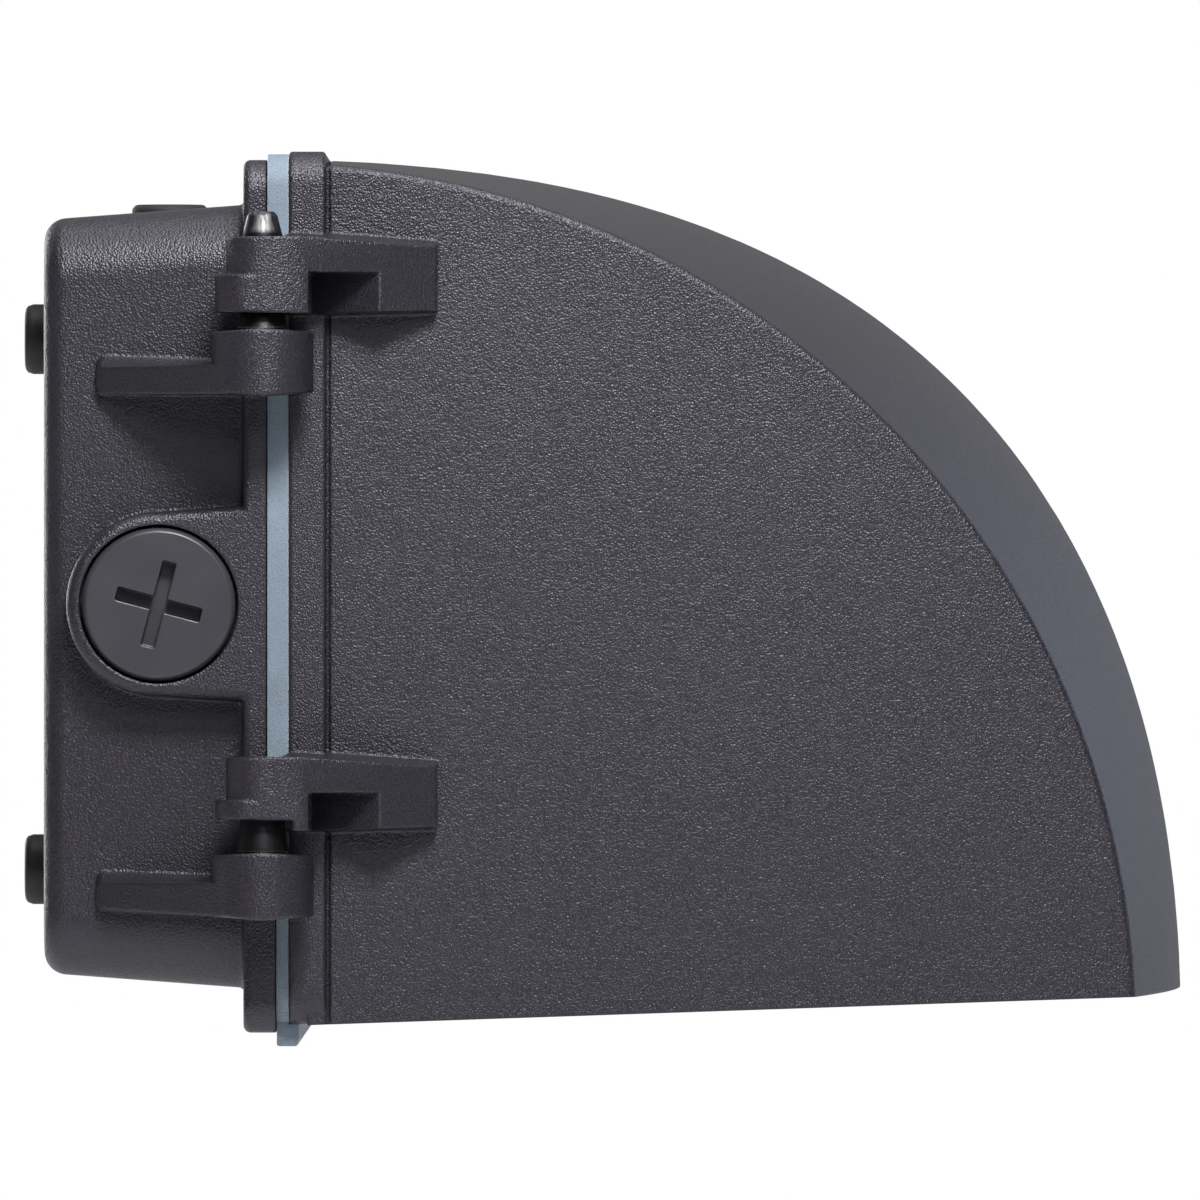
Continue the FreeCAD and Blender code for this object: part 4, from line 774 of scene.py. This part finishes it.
@dataclass(frozen=True)
class Screw:
    """The sizes of one kind of screw."""

    head_radius: float
    head_height: float
    shank_radius: float
    pitch: float = 0.5 * MM
    head_sides: int = 32
    drive: Drive = Drive.CROSS
    plain: float = 0.0
    recess_foot: float = 0.55
    rim_share: float = 0.4
    thread_depth: float = 0.55
    end_taper: float = 0.7

    def cutter(self) -> bpy.types.Object:
        """Shapes the tool that sinks the recess, from a block drawn out sideways."""
        width, reach, depth = self.drive.value
        slot = self.drive is Drive.SLOT
        side = width * self.head_radius
        tool = block("recess_tool", (side, side, 2 * depth * self.head_height), (0, 0, self.head_height))
        pick_faces(tool, (lambda f: abs(f.normal.x) > 0.9) if slot else (lambda f: abs(f.normal.z) < 0.5))
        out = {"value": -reach * self.head_radius}
        edit(tool, lambda: bpy.ops.mesh.extrude_faces_move(TRANSFORM_OT_shrink_fatten=out))
        if not slot:
            pick_faces(tool, is_foot)
            edit(tool, lambda: taper(self.recess_foot))
        edit(tool, lambda: bpy.ops.mesh.select_all(action="SELECT"),
             lambda: bpy.ops.mesh.normals_make_consistent(inside=False))
        return tool

    def thread(self, length: float) -> list[tuple[float, float]]:
        """The (advance, radius) steps of the ridges on a length of shank, downwards to a chamfered end."""
        root = self.shank_radius - self.thread_depth * self.pitch
        steps = [(-self.plain, self.shank_radius)] if self.plain else []
        for _ in range(int((length - self.plain) / self.pitch) - 1):
            steps += [(-self.pitch / 2, root), (-self.pitch / 2, self.shank_radius)]
        return steps + [(-self.pitch, self.end_taper * self.shank_radius)]

    def model(self, name: str, length: float) -> bpy.types.Object:
        """Models the screw with its seat on the origin, head up and shank down.

        Args:
            name: the screw's name.
            length: the shank's length.

        Returns:
            The screw.
        """
        bevel = self.rim_share * self.head_height
        if self.head_sides == HEX_SIDES:
            rim = [(bevel, 0.9 * self.head_radius)]
        else:
            rim = [(rise * bevel, self.head_radius - inset * bevel)
                   for rise, inset in ((0.45, 0.12), (0.35, 0.45), (0.20, 1.0))]
        head = turned(name, self.head_radius, self.head_height - bevel, rim, self.head_sides)
        carve(head, self.cutter())
        shank = turned(name + "_shank", self.shank_radius, 0.1 * self.head_height, [], 20)
        pick_faces(shank, is_foot)
        draw_out(shank, self.shank_radius, self.thread(length))
        select_only(head, shank)
        bpy.ops.object.join()
        return head

    def seat(self, low: Vector, high: Vector, out: Vector) -> tuple[Vector, float]:
        """Finds a screw's seat and shank length from the box of its CAD solid.

        Args:
            low: the box's lowest corner.
            high: the box's highest corner.
            out: where the head points.

        Returns:
            The seat and the shank's length.
        """
        main = max(range(3), key=lambda i: abs(out[i]))
        lean = math.sqrt(max(0.0, 1.0 - out[main] ** 2))
        point = (low + high) / 2
        for i in range(3):
            if i != main and abs(out[i]) > 0.001:
                reach = self.head_radius * math.sqrt(1.0 - out[i] ** 2)
                point[i] = high[i] - reach if out[i] < 0 else low[i] + reach
        end = high[main] if out[main] > 0 else low[main]
        top = end - math.copysign(self.head_radius * lean, out[main])
        point[main] = top - self.head_height * out[main]
        total = (high - low)[main] - lean * (self.head_radius + self.shank_radius)
        return point, total / abs(out[main]) - self.head_height

    def set_for(self, node: str, name: str, out: Vector) -> bpy.types.Object:
        """Models the screws of a CAD node.

        Args:
            node: the CAD node.
            name: the set's name.
            out: where their heads point.

        Returns:
            All of them as one piece.
        """
        places = [self.seat(low, high, out) for low, high in loose_boxes(node)]
        template = self.model(name + "_one", min(length for _, length in places))
        return repeated(template, [point for point, _ in places], out, name)


PAN_SCREW = Screw(3.0 * MM, 1.8 * MM, 1.5 * MM)
LATCH_SCREW = Screw(4.7 * MM, 3.0 * MM, 2.4 * MM, 0.8 * MM, HEX_SIDES, Drive.SLOT, 12.0 * MM)
CLAMP_SCREW = Screw(1.75 * MM, 1.3 * MM, 0.9 * MM, 0.4 * MM, 24, Drive.SLOT)
RIM_SLOPE = math.radians(1.95)
ABOVE_RIM = Vector((-math.sin(RIM_SLOPE), 0.0, math.cos(RIM_SLOPE)))
OUTWARD = Vector((1.0, 0.0, 0.0))


# ---- pieces -------------------------------------------------------------------------------------
@dataclass
class SubAssembly:
    """A group of pieces that ride on one body."""

    body: str

    def finish(self, piece: bpy.types.Object, finish: Finish, *nodes: str) -> bpy.types.Object:
        """Dresses a piece, makes it ride on the body and hides the CAD nodes that it stands in for.

        Args:
            piece: the finished mesh.
            finish: its finish.
            nodes: the CAD nodes that it replaces.

        Returns:
            The same piece.
        """
        piece.data.materials.clear()
        piece.data.materials.append(finish.material)
        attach(piece, self.body)
        if nodes:
            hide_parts(*nodes)
        LOG.info("%s: %d faces, rides on %s", piece.name, len(piece.data.polygons), self.body)
        return piece

    def skin(self, node: str, name: str, finish: Finish, edge: float = 0.25 * MM,
             segments: int = 2, angle_deg: float = 38.0) -> bpy.types.Object:
        """Stands a bevelled copy in for a CAD node, so that its edges catch the light.

        Args:
            node: the CAD node.
            name: the new piece's name.
            finish: its finish.
            edge: the bevel's width in metres.
            segments: the bevel's segments.
            angle_deg: edges sharper than this are bevelled.

        Returns:
            The new piece.
        """
        piece = merged_copy(node, name)
        modify(piece, "BEVEL", width=edge, segments=segments, limit_method="ANGLE",
               angle_limit=math.radians(angle_deg), use_clamp_overlap=True, miter_outer="MITER_ARC")
        settle(piece)
        return self.finish(piece, finish, node)

    def screws(self, node: str, name: str, kind: Screw, out: Vector) -> None:
        """Stands modelled screws in for a CAD node."""
        self.finish(kind.set_for(node, name, out), Finish.SCREW, node)

    def dress(self, node: str, finish: Finish) -> None:
        """Gives a CAD node its finish as it is."""
        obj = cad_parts[node]
        obj.data.materials.clear()
        obj.data.materials.append(finish.material)
        LOG.info("%s: CAD node with %s", node, finish.name)


@dataclass
class Castings(SubAssembly):
    """The two powder-coated castings: the wall box and the door with its hood."""

    edge: float = 0.35 * MM

    def build(self) -> None:
        """Builds the skin of this body's casting."""
        if self.body == "wall_box":
            self.skin("rear_housing", "wall_box_casting", Finish.BOX_COAT, self.edge)
        else:
            self.skin("door_casting", "hood_door_casting", Finish.HOOD_COAT, self.edge)


@dataclass
class WallBoxFittings(SubAssembly):
    """What the wall box carries: grommets, plugs, seals, button and hinge pins."""

    grommet_radius: float = 6.7 * MM
    grommet_bore: float = 2.75 * MM
    grommet_neck: float = 4.6 * MM
    grommet_proud: float = 4.2 * MM
    wall: float = 3.0 * MM
    lip: float = 1.6 * MM
    seam: float = 0.01 * MM
    turns: int = 48
    bay: float = 6.0 * MM
    clamp_rise: float = 0.2 * MM
    clamp_length: float = 1.2 * MM

    def grommet(self) -> bpy.types.Object:
        """Models one grommet on the origin: outer flange, neck through the wall, inner lip, and bore."""
        rear = self.grommet_radius - self.lip
        steps = [(0.1 * self.lip, rear + 0.44 * self.lip), (0.25 * self.lip, rear + 0.78 * self.lip),
                 (0.65 * self.lip, self.grommet_radius),
                 (self.grommet_proud - self.lip - self.seam, self.grommet_radius), (0.0, self.grommet_neck),
                 (self.wall + self.seam, self.grommet_neck), (0.0, self.grommet_neck + self.lip),
                 (0.4 * self.lip, self.grommet_neck + self.lip), (0.6 * self.lip, self.grommet_neck),
                 (0.0, self.grommet_bore)]
        piece = turned("grommet_one", rear, self.seam, steps, self.turns)
        pick_faces(piece, lambda face: face.normal.z < -0.9 and len(face.vertices) == self.turns)
        edit(piece, lambda: bpy.ops.mesh.inset(thickness=rear - self.grommet_bore))
        pick_faces(piece, lambda face: len(face.vertices) == self.turns)
        edit(piece, lambda: bpy.ops.mesh.delete(type="FACE"))
        edit(piece, lambda: bpy.ops.mesh.select_all(action="DESELECT"), bpy.ops.mesh.select_non_manifold,
             bpy.ops.mesh.bridge_edge_loops, lambda: bpy.ops.mesh.select_all(action="SELECT"),
             lambda: bpy.ops.mesh.normals_make_consistent(inside=False), mode="EDGE")
        return piece

    def clamps(self) -> bpy.types.Object:
        """Models the terminal strip's clamp screws at the bottom of its bays."""
        low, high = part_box("terminal_block")
        floor = low[0] + (high[0] - low[0]) / 2
        middle = Vector((floor + self.clamp_rise, (low[1] + high[1]) / 2, (low[2] + high[2]) / 2))
        seats = [middle + Vector((0, step * self.bay, 0)) for step in (-1, 0, 1)]
        return repeated(CLAMP_SCREW.model("clamp_one", self.clamp_length), seats, OUTWARD,
                        "terminal_clamp_screws")

    def build(self) -> None:
        """Builds the fittings."""
        seats = [Vector((0.0, (low.y + high.y) / 2, (low.z + high.z) / 2))
                 for low, high in loose_boxes("mounting_grommets")]
        self.finish(repeated(self.grommet(), seats, OUTWARD, "wall_grommets"), Finish.GROMMET,
                    "mounting_grommets")
        for side in ("hinge_side", "latch_side"):
            self.skin(side + "_conduit_plug", side + "_plug_body", Finish.PLUG, 0.3 * MM, 3)
            self.dress(side + "_plug_seal", Finish.SEAL)
        self.skin("photocell_button", "photocell_cap", Finish.NYLON, 0.3 * MM, 3)
        for end in ("upper", "lower"):
            self.skin(end + "_hinge_pin", end + "_pin_turned", Finish.PIN, 0.2 * MM, 3, 20.0)
        self.skin("terminal_block", "terminal_strip", Finish.BLOCK, 0.3 * MM, 2)
        self.screws("ground_screw", "earthing_screw", PAN_SCREW, OUTWARD)
        self.screws("terminal_block_screws", "terminal_strip_screws", PAN_SCREW, OUTWARD)
        self.finish(self.clamps(), Finish.SCREW)


@dataclass
class LensPack(SubAssembly):
    """The glass with its seal, frame and the door's sponge gasket."""

    def build(self) -> None:
        """Builds the pack."""
        self.skin("glass_lens", "tempered_lens", Finish.LENS, 0.5 * MM, 3)
        self.dress("lens_gasket", Finish.SEAL)
        self.skin("lens_frame", "lens_clamp_frame", Finish.SHEET, 0.15 * MM, 2)
        self.skin("door_gasket", "door_sponge_gasket", Finish.SPONGE, 0.5 * MM, 3)
        self.screws("lens_frame_screws", "clamp_frame_screws", PAN_SCREW, ABOVE_RIM)


@dataclass
class LightEngine(SubAssembly):
    """The tray with its board, optics, reflector and driver."""

    emitter: float = 3.2 * MM
    emitter_height: float = 0.8 * MM
    emitter_wall: float = 0.35 * MM
    pocket: float = 0.48 * MM
    pocket_taper: float = 0.86
    filling_foot: float = 0.336 * MM
    filling_side: float = 0.32 * MM
    filling_crown: float = 0.096 * MM
    crown_taper: float = 0.72
    crown_edge: float = 0.12 * MM
    dome_radius: float = 6.5 * MM
    dome_drop: float = 3.6 * MM
    dome_steps: tuple[tuple[float, float], ...] = (
        (0.16, 0.985), (0.20, 0.93), (0.20, 0.83), (0.17, 0.68), (0.12, 0.50), (0.04, 0.34),
        (-0.03, 0.20), (-0.03, 0.08))
    dome_sink: float = 0.02 * MM
    hollow_radius: float = 2.6 * MM
    hollow_steps: tuple[tuple[float, float], ...] = ((0.35, 0.94), (0.30, 0.74), (0.18, 0.45), (0.05, 0.15))
    hollow_rise: float = 0.05 * MM
    plate: float = 1.8 * MM
    plate_edge: float = 0.3 * MM
    bore_radius: float = 3.5 * MM
    bore_rise: float = 0.3 * MM

    def seats(self) -> list[Vector]:
        """The middles of the emitters' feet on the board's underside."""
        rise = ABOVE_RIM * self.emitter_height / 2
        return [(low + high) / 2 + rise for low, high in loose_boxes("led_emitters")]

    def package(self) -> bpy.types.Object:
        """Models the white frame of one emitter with its open pocket, foot on the origin."""
        body = block("emitter_package_one", (self.emitter, self.emitter, self.emitter_height),
                     (0, 0, self.emitter_height / 2))
        pick_faces(body, is_top)
        edit(body, lambda: bpy.ops.mesh.inset(thickness=self.emitter_wall),
             lambda: push(-self.pocket), lambda: taper(self.pocket_taper))
        return body

    def filling(self) -> bpy.types.Object:
        """Models the domed phosphor filling of one emitter's pocket."""
        width = 2 * self.pocket_taper * (self.emitter / 2 - self.emitter_wall)
        pillow = block("emitter_filling_one", (width, width, self.filling_side),
                       (0, 0, self.filling_foot + self.filling_side / 2))
        pick_faces(pillow, is_top)
        edit(pillow, lambda: push(self.filling_crown), lambda: taper(self.crown_taper))
        modify(pillow, "BEVEL", width=self.crown_edge, segments=3, limit_method="ANGLE")
        return pillow

    def dome(self) -> bpy.types.Object:
        """Models one lens of the optic plate, its base on the origin: a dome with a dimple."""
        steps = [(rise * self.dome_drop, share * self.dome_radius) for rise, share in self.dome_steps]
        return turned("optic_dome_one", self.dome_radius, 0.11 * self.dome_drop, steps, 32)

    def hollow(self) -> bpy.types.Object:
        """Models the room for one emitter behind its lens, its mouth on the origin."""
        radius = self.hollow_radius
        steps = [(rise * radius, share * radius) for rise, share in self.hollow_steps]
        return turned("optic_hollow_one", radius, self.plate, steps, 24)

    def optics(self, seats: Sequence[Vector]) -> bpy.types.Object:
        """Models the clear plate with a lens over each emitter and room for the emitter in it.

        Args:
            seats: the middles of the emitters' feet.

        Returns:
            The plate, in place under the board.
        """
        low, high = [Vector(corner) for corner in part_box("led_board")]
        length = (high.x - low.x) / math.cos(RIM_SLOPE)
        board = ((high.z - low.z) - length * math.sin(RIM_SLOPE)) / math.cos(RIM_SLOPE)
        plate = block("optic_array", (length, high.y - low.y, self.plate))
        modify(plate, "BEVEL", width=self.plate_edge, segments=2, limit_method="ANGLE")
        plate.rotation_euler = (0.0, -RIM_SLOPE, 0.0)
        plate.location = (low + high) / 2 - ABOVE_RIM * (board + self.plate) / 2
        select_only(plate)
        bpy.ops.object.transform_apply(location=True, rotation=True, scale=True)
        under = -ABOVE_RIM
        heads = [PAN_SCREW.seat(*corners, under)[0] for corners in loose_boxes("board_screws")]
        bore = turned("optic_bore_one", self.bore_radius, self.plate + 2 * self.bore_rise, [], 24)
        for template, places, height, operation in (
                (self.dome(), seats, self.plate - self.dome_sink, "UNION"),
                (self.hollow(), seats, -self.hollow_rise, "DIFFERENCE"),
                (bore, heads, -self.bore_rise, "DIFFERENCE")):
            tools = repeated(template, [place + under * height for place in places], under, "optic_tools")
            carve(plate, tools, operation)
        return settle(plate, 28.0)

    def build(self) -> None:
        """Builds the engine."""
        self.skin("heat_sink_tray", "finned_tray", Finish.TRAY, 0.25 * MM, 2)
        self.skin("led_board", "metal_core_board", Finish.BOARD, 0.15 * MM, 2)
        seats = self.seats()
        for model, name, finish, nodes in (
                (self.package(), "emitter_packages", Finish.PACKAGE, ()),
                (self.filling(), "emitter_phosphors", Finish.PHOSPHOR, ("led_emitters",))):
            self.finish(repeated(model, seats, -ABOVE_RIM, name), finish, *nodes)
        self.finish(self.optics(seats), Finish.OPTIC, "led_optics")
        self.skin("reflector", "bright_funnel", Finish.MIRROR, 0.1 * MM, 2)
        self.skin("led_driver", "potted_driver", Finish.DRIVER, 0.6 * MM, 3)
        self.screws("tray_screws", "tray_pan_screws", PAN_SCREW, ABOVE_RIM)
        self.screws("driver_screws", "driver_pan_screws", PAN_SCREW, ABOVE_RIM)
        self.screws("board_screws", "optic_plate_screws", PAN_SCREW, -ABOVE_RIM)


@dataclass
class Latches(SubAssembly):
    """The door screws, each on its own body, and their rings on the door."""

    def build(self) -> None:
        """Builds what this body carries of the latches."""
        if self.body == "door":
            self.dress("latch_washers", Finish.SCREW)
            self.dress("latch_retainers", Finish.NYLON)
            return
        node = self.body.replace("_screw", "_latch_screw")
        self.screws(node, self.body + "_turned", LATCH_SCREW, OUTWARD)


# ---- studio -------------------------------------------------------------------------------------
@dataclass(frozen=True)
class Lamp:
    """A square softbox that faces the middle of the object."""

    name: str
    place: Point
    size: float
    power: float
    colour: Colour = (1.0, 1.0, 1.0)
    target: Point = (0.1, 0.0, 0.0)

    def add(self) -> None:
        """Adds the lamp to the scene."""
        bpy.ops.object.light_add(type="AREA", location=self.place)
        lamp = bpy.context.view_layer.objects.active
        lamp.name = self.name
        lamp.data.shape = "SQUARE"
        lamp.data.size = self.size
        lamp.data.energy = self.power
        lamp.data.color = self.colour
        lamp.visible_camera = False
        aim = Vector(self.target) - Vector(self.place)
        lamp.rotation_euler = aim.to_track_quat("-Z", "Y").to_euler()


@dataclass
class Studio:
    """The camera, floor, lamps and world."""

    camera_x: float = 110.2 * MM
    camera_z: float = 0.8 * MM
    near_side_y: float = -133.0 * MM
    distance: float = 4.9
    frame_width: float = 228.0 * MM
    sensor_mm: float = 36.0
    floor_drop: float = 0.22
    floor_size: float = 9.0
    floor_white: float = 0.68
    floor_mirrored: float = 0.25
    lamps: tuple[Lamp, ...] = (
        Lamp("front_softbox", (0.13, -1.12, 0.42), 0.25, 1.2),
        Lamp("key_softbox", (0.14, -0.585, 0.45), 0.16, 5.4),
        Lamp("top_softbox", (0.12, -0.2, 1.8), 1.2, 17.0),
        Lamp("cool_rim", (1.6, 0.9, 0.5), 1.0, 5.6, (0.55, 0.67, 1.0)),
        Lamp("back_softbox", (-1.0, 1.5, 0.25), 0.8, 9.0),
    )
    fill: float = 0.05
    behind: float = 0.38
    before: float = 0.05
    dims_from: float = -0.6
    dims_to: float = 0.9

    def camera(self) -> None:
        """Adds the camera of the reference view: level, square to the hinge side and far away."""
        bpy.ops.object.camera_add(location=(self.camera_x, self.near_side_y - self.distance, self.camera_z),
                                  rotation=(math.pi / 2, 0, 0))
        camera = bpy.context.view_layer.objects.active
        camera.data.sensor_width = self.sensor_mm
        camera.data.sensor_fit = "HORIZONTAL"
        camera.data.lens = self.sensor_mm * self.distance / self.frame_width
        camera.data.clip_end = 60.0
        bpy.context.scene.camera = camera

    def floor(self) -> None:
        """Adds the pale floor below the object."""
        level = CAD_BOX[0][2] - self.floor_drop
        bpy.ops.mesh.primitive_plane_add(size=self.floor_size, location=(0, 0, level))
        floor = bpy.context.view_layer.objects.active
        floor.name = "studio_floor"
        bpy.ops.object.transform_apply(location=True, rotation=True, scale=True)
        tree = Tree("studio_white")
        path = tree.add("ShaderNodeLightPath")
        seen = tree.add("ShaderNodeMath", operation="MAXIMUM")
        tree.link(path, "Is Camera Ray", seen, 0)
        tree.link(path, "Is Transmission Ray", seen, 1)
        dimmed = tree.add("ShaderNodeMath", operation="MULTIPLY")
        dimmed.inputs[1].default_value = self.floor_mirrored
        tree.link(path, "Is Glossy Ray", dimmed, 0)
        lift = tree.add("ShaderNodeMath", operation="MULTIPLY_ADD")
        lift.inputs[1].default_value = self.floor_white
        tree.link(seen, 0, lift, 0)
        tree.link(dimmed, 0, lift, 2)
        tree.link(lift, 0, tree.shader, "Emission Strength")
        tree.paint(tree.ramp(tree.noise(2.0, 2.0), "Fac", [(0.3, 0.80), (0.7, 0.82)]))
        tree.set(Emission_Color=(1.0, 1.0, 1.0), Roughness=0.9)
        floor.data.materials.append(tree.material)

    def world(self) -> None:
        """Sets a white backdrop for the camera, which metal and glass mirror, over a low fill."""
        world = bpy.data.worlds.new("studio_world")
        world.use_nodes = True
        tree = world.node_tree
        tree.nodes.clear()

        def node(kind: str, **values: object) -> bpy.types.Node:
            """Adds a node to the world and sets its attributes."""
            made = tree.nodes.new(kind)
            for key, value in values.items():
                setattr(made, key, value)
            return made

        output = node("ShaderNodeOutputWorld")
        back = node("ShaderNodeBackground")
        path = node("ShaderNodeLightPath")
        seen = node("ShaderNodeMath", operation="MAXIMUM")
        place = node("ShaderNodeTexCoord")
        split = node("ShaderNodeSeparateXYZ")
        mirrored = node("ShaderNodeMapRange", interpolation_type="SMOOTHSTEP")
        glossy = node("ShaderNodeMix", data_type="FLOAT")
        level = node("ShaderNodeMix", data_type="FLOAT")
        mirrored.inputs["From Min"].default_value = self.dims_from
        mirrored.inputs["From Max"].default_value = self.dims_to
        mirrored.inputs["To Min"].default_value = self.before
        mirrored.inputs["To Max"].default_value = self.behind
        glossy.inputs[2].default_value = self.fill
        level.inputs[3].default_value = 1.0
        for source, out, target, into in (
                (path, "Is Camera Ray", seen, 0), (path, "Is Transmission Ray", seen, 1),
                (place, "Generated", split, 0), (split, "Y", mirrored, "Value"),
                (path, "Is Glossy Ray", glossy, 0), (mirrored, "Result", glossy, 3),
                (seen, 0, level, 0), (glossy, 0, level, 2), (level, 0, back, "Strength"),
                (back, "Background", output, "Surface")):
            tree.links.new(source.outputs[out], target.inputs[into])
        back.inputs["Color"].default_value = (1.0, 1.0, 1.0, 1.0)
        bpy.context.scene.world = world

    def build(self) -> None:
        """Builds the studio."""
        self.camera()
        self.floor()
        for lamp in self.lamps:
            lamp.add()
        self.world()
        bpy.context.scene.view_settings.view_transform = "Standard"


def main() -> None:
    """Builds the studio and every sub-assembly."""
    logging.basicConfig(level=logging.INFO, format="%(name)s: %(message)s")
    Studio().build()
    for part in (Castings("wall_box"), Castings("door"), WallBoxFittings("wall_box"), LensPack("door"),
                 LightEngine("door"), Latches("door"), Latches("upper_screw"), Latches("lower_screw")):
        part.build()
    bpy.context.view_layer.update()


if __name__ == "__main__":
    main()
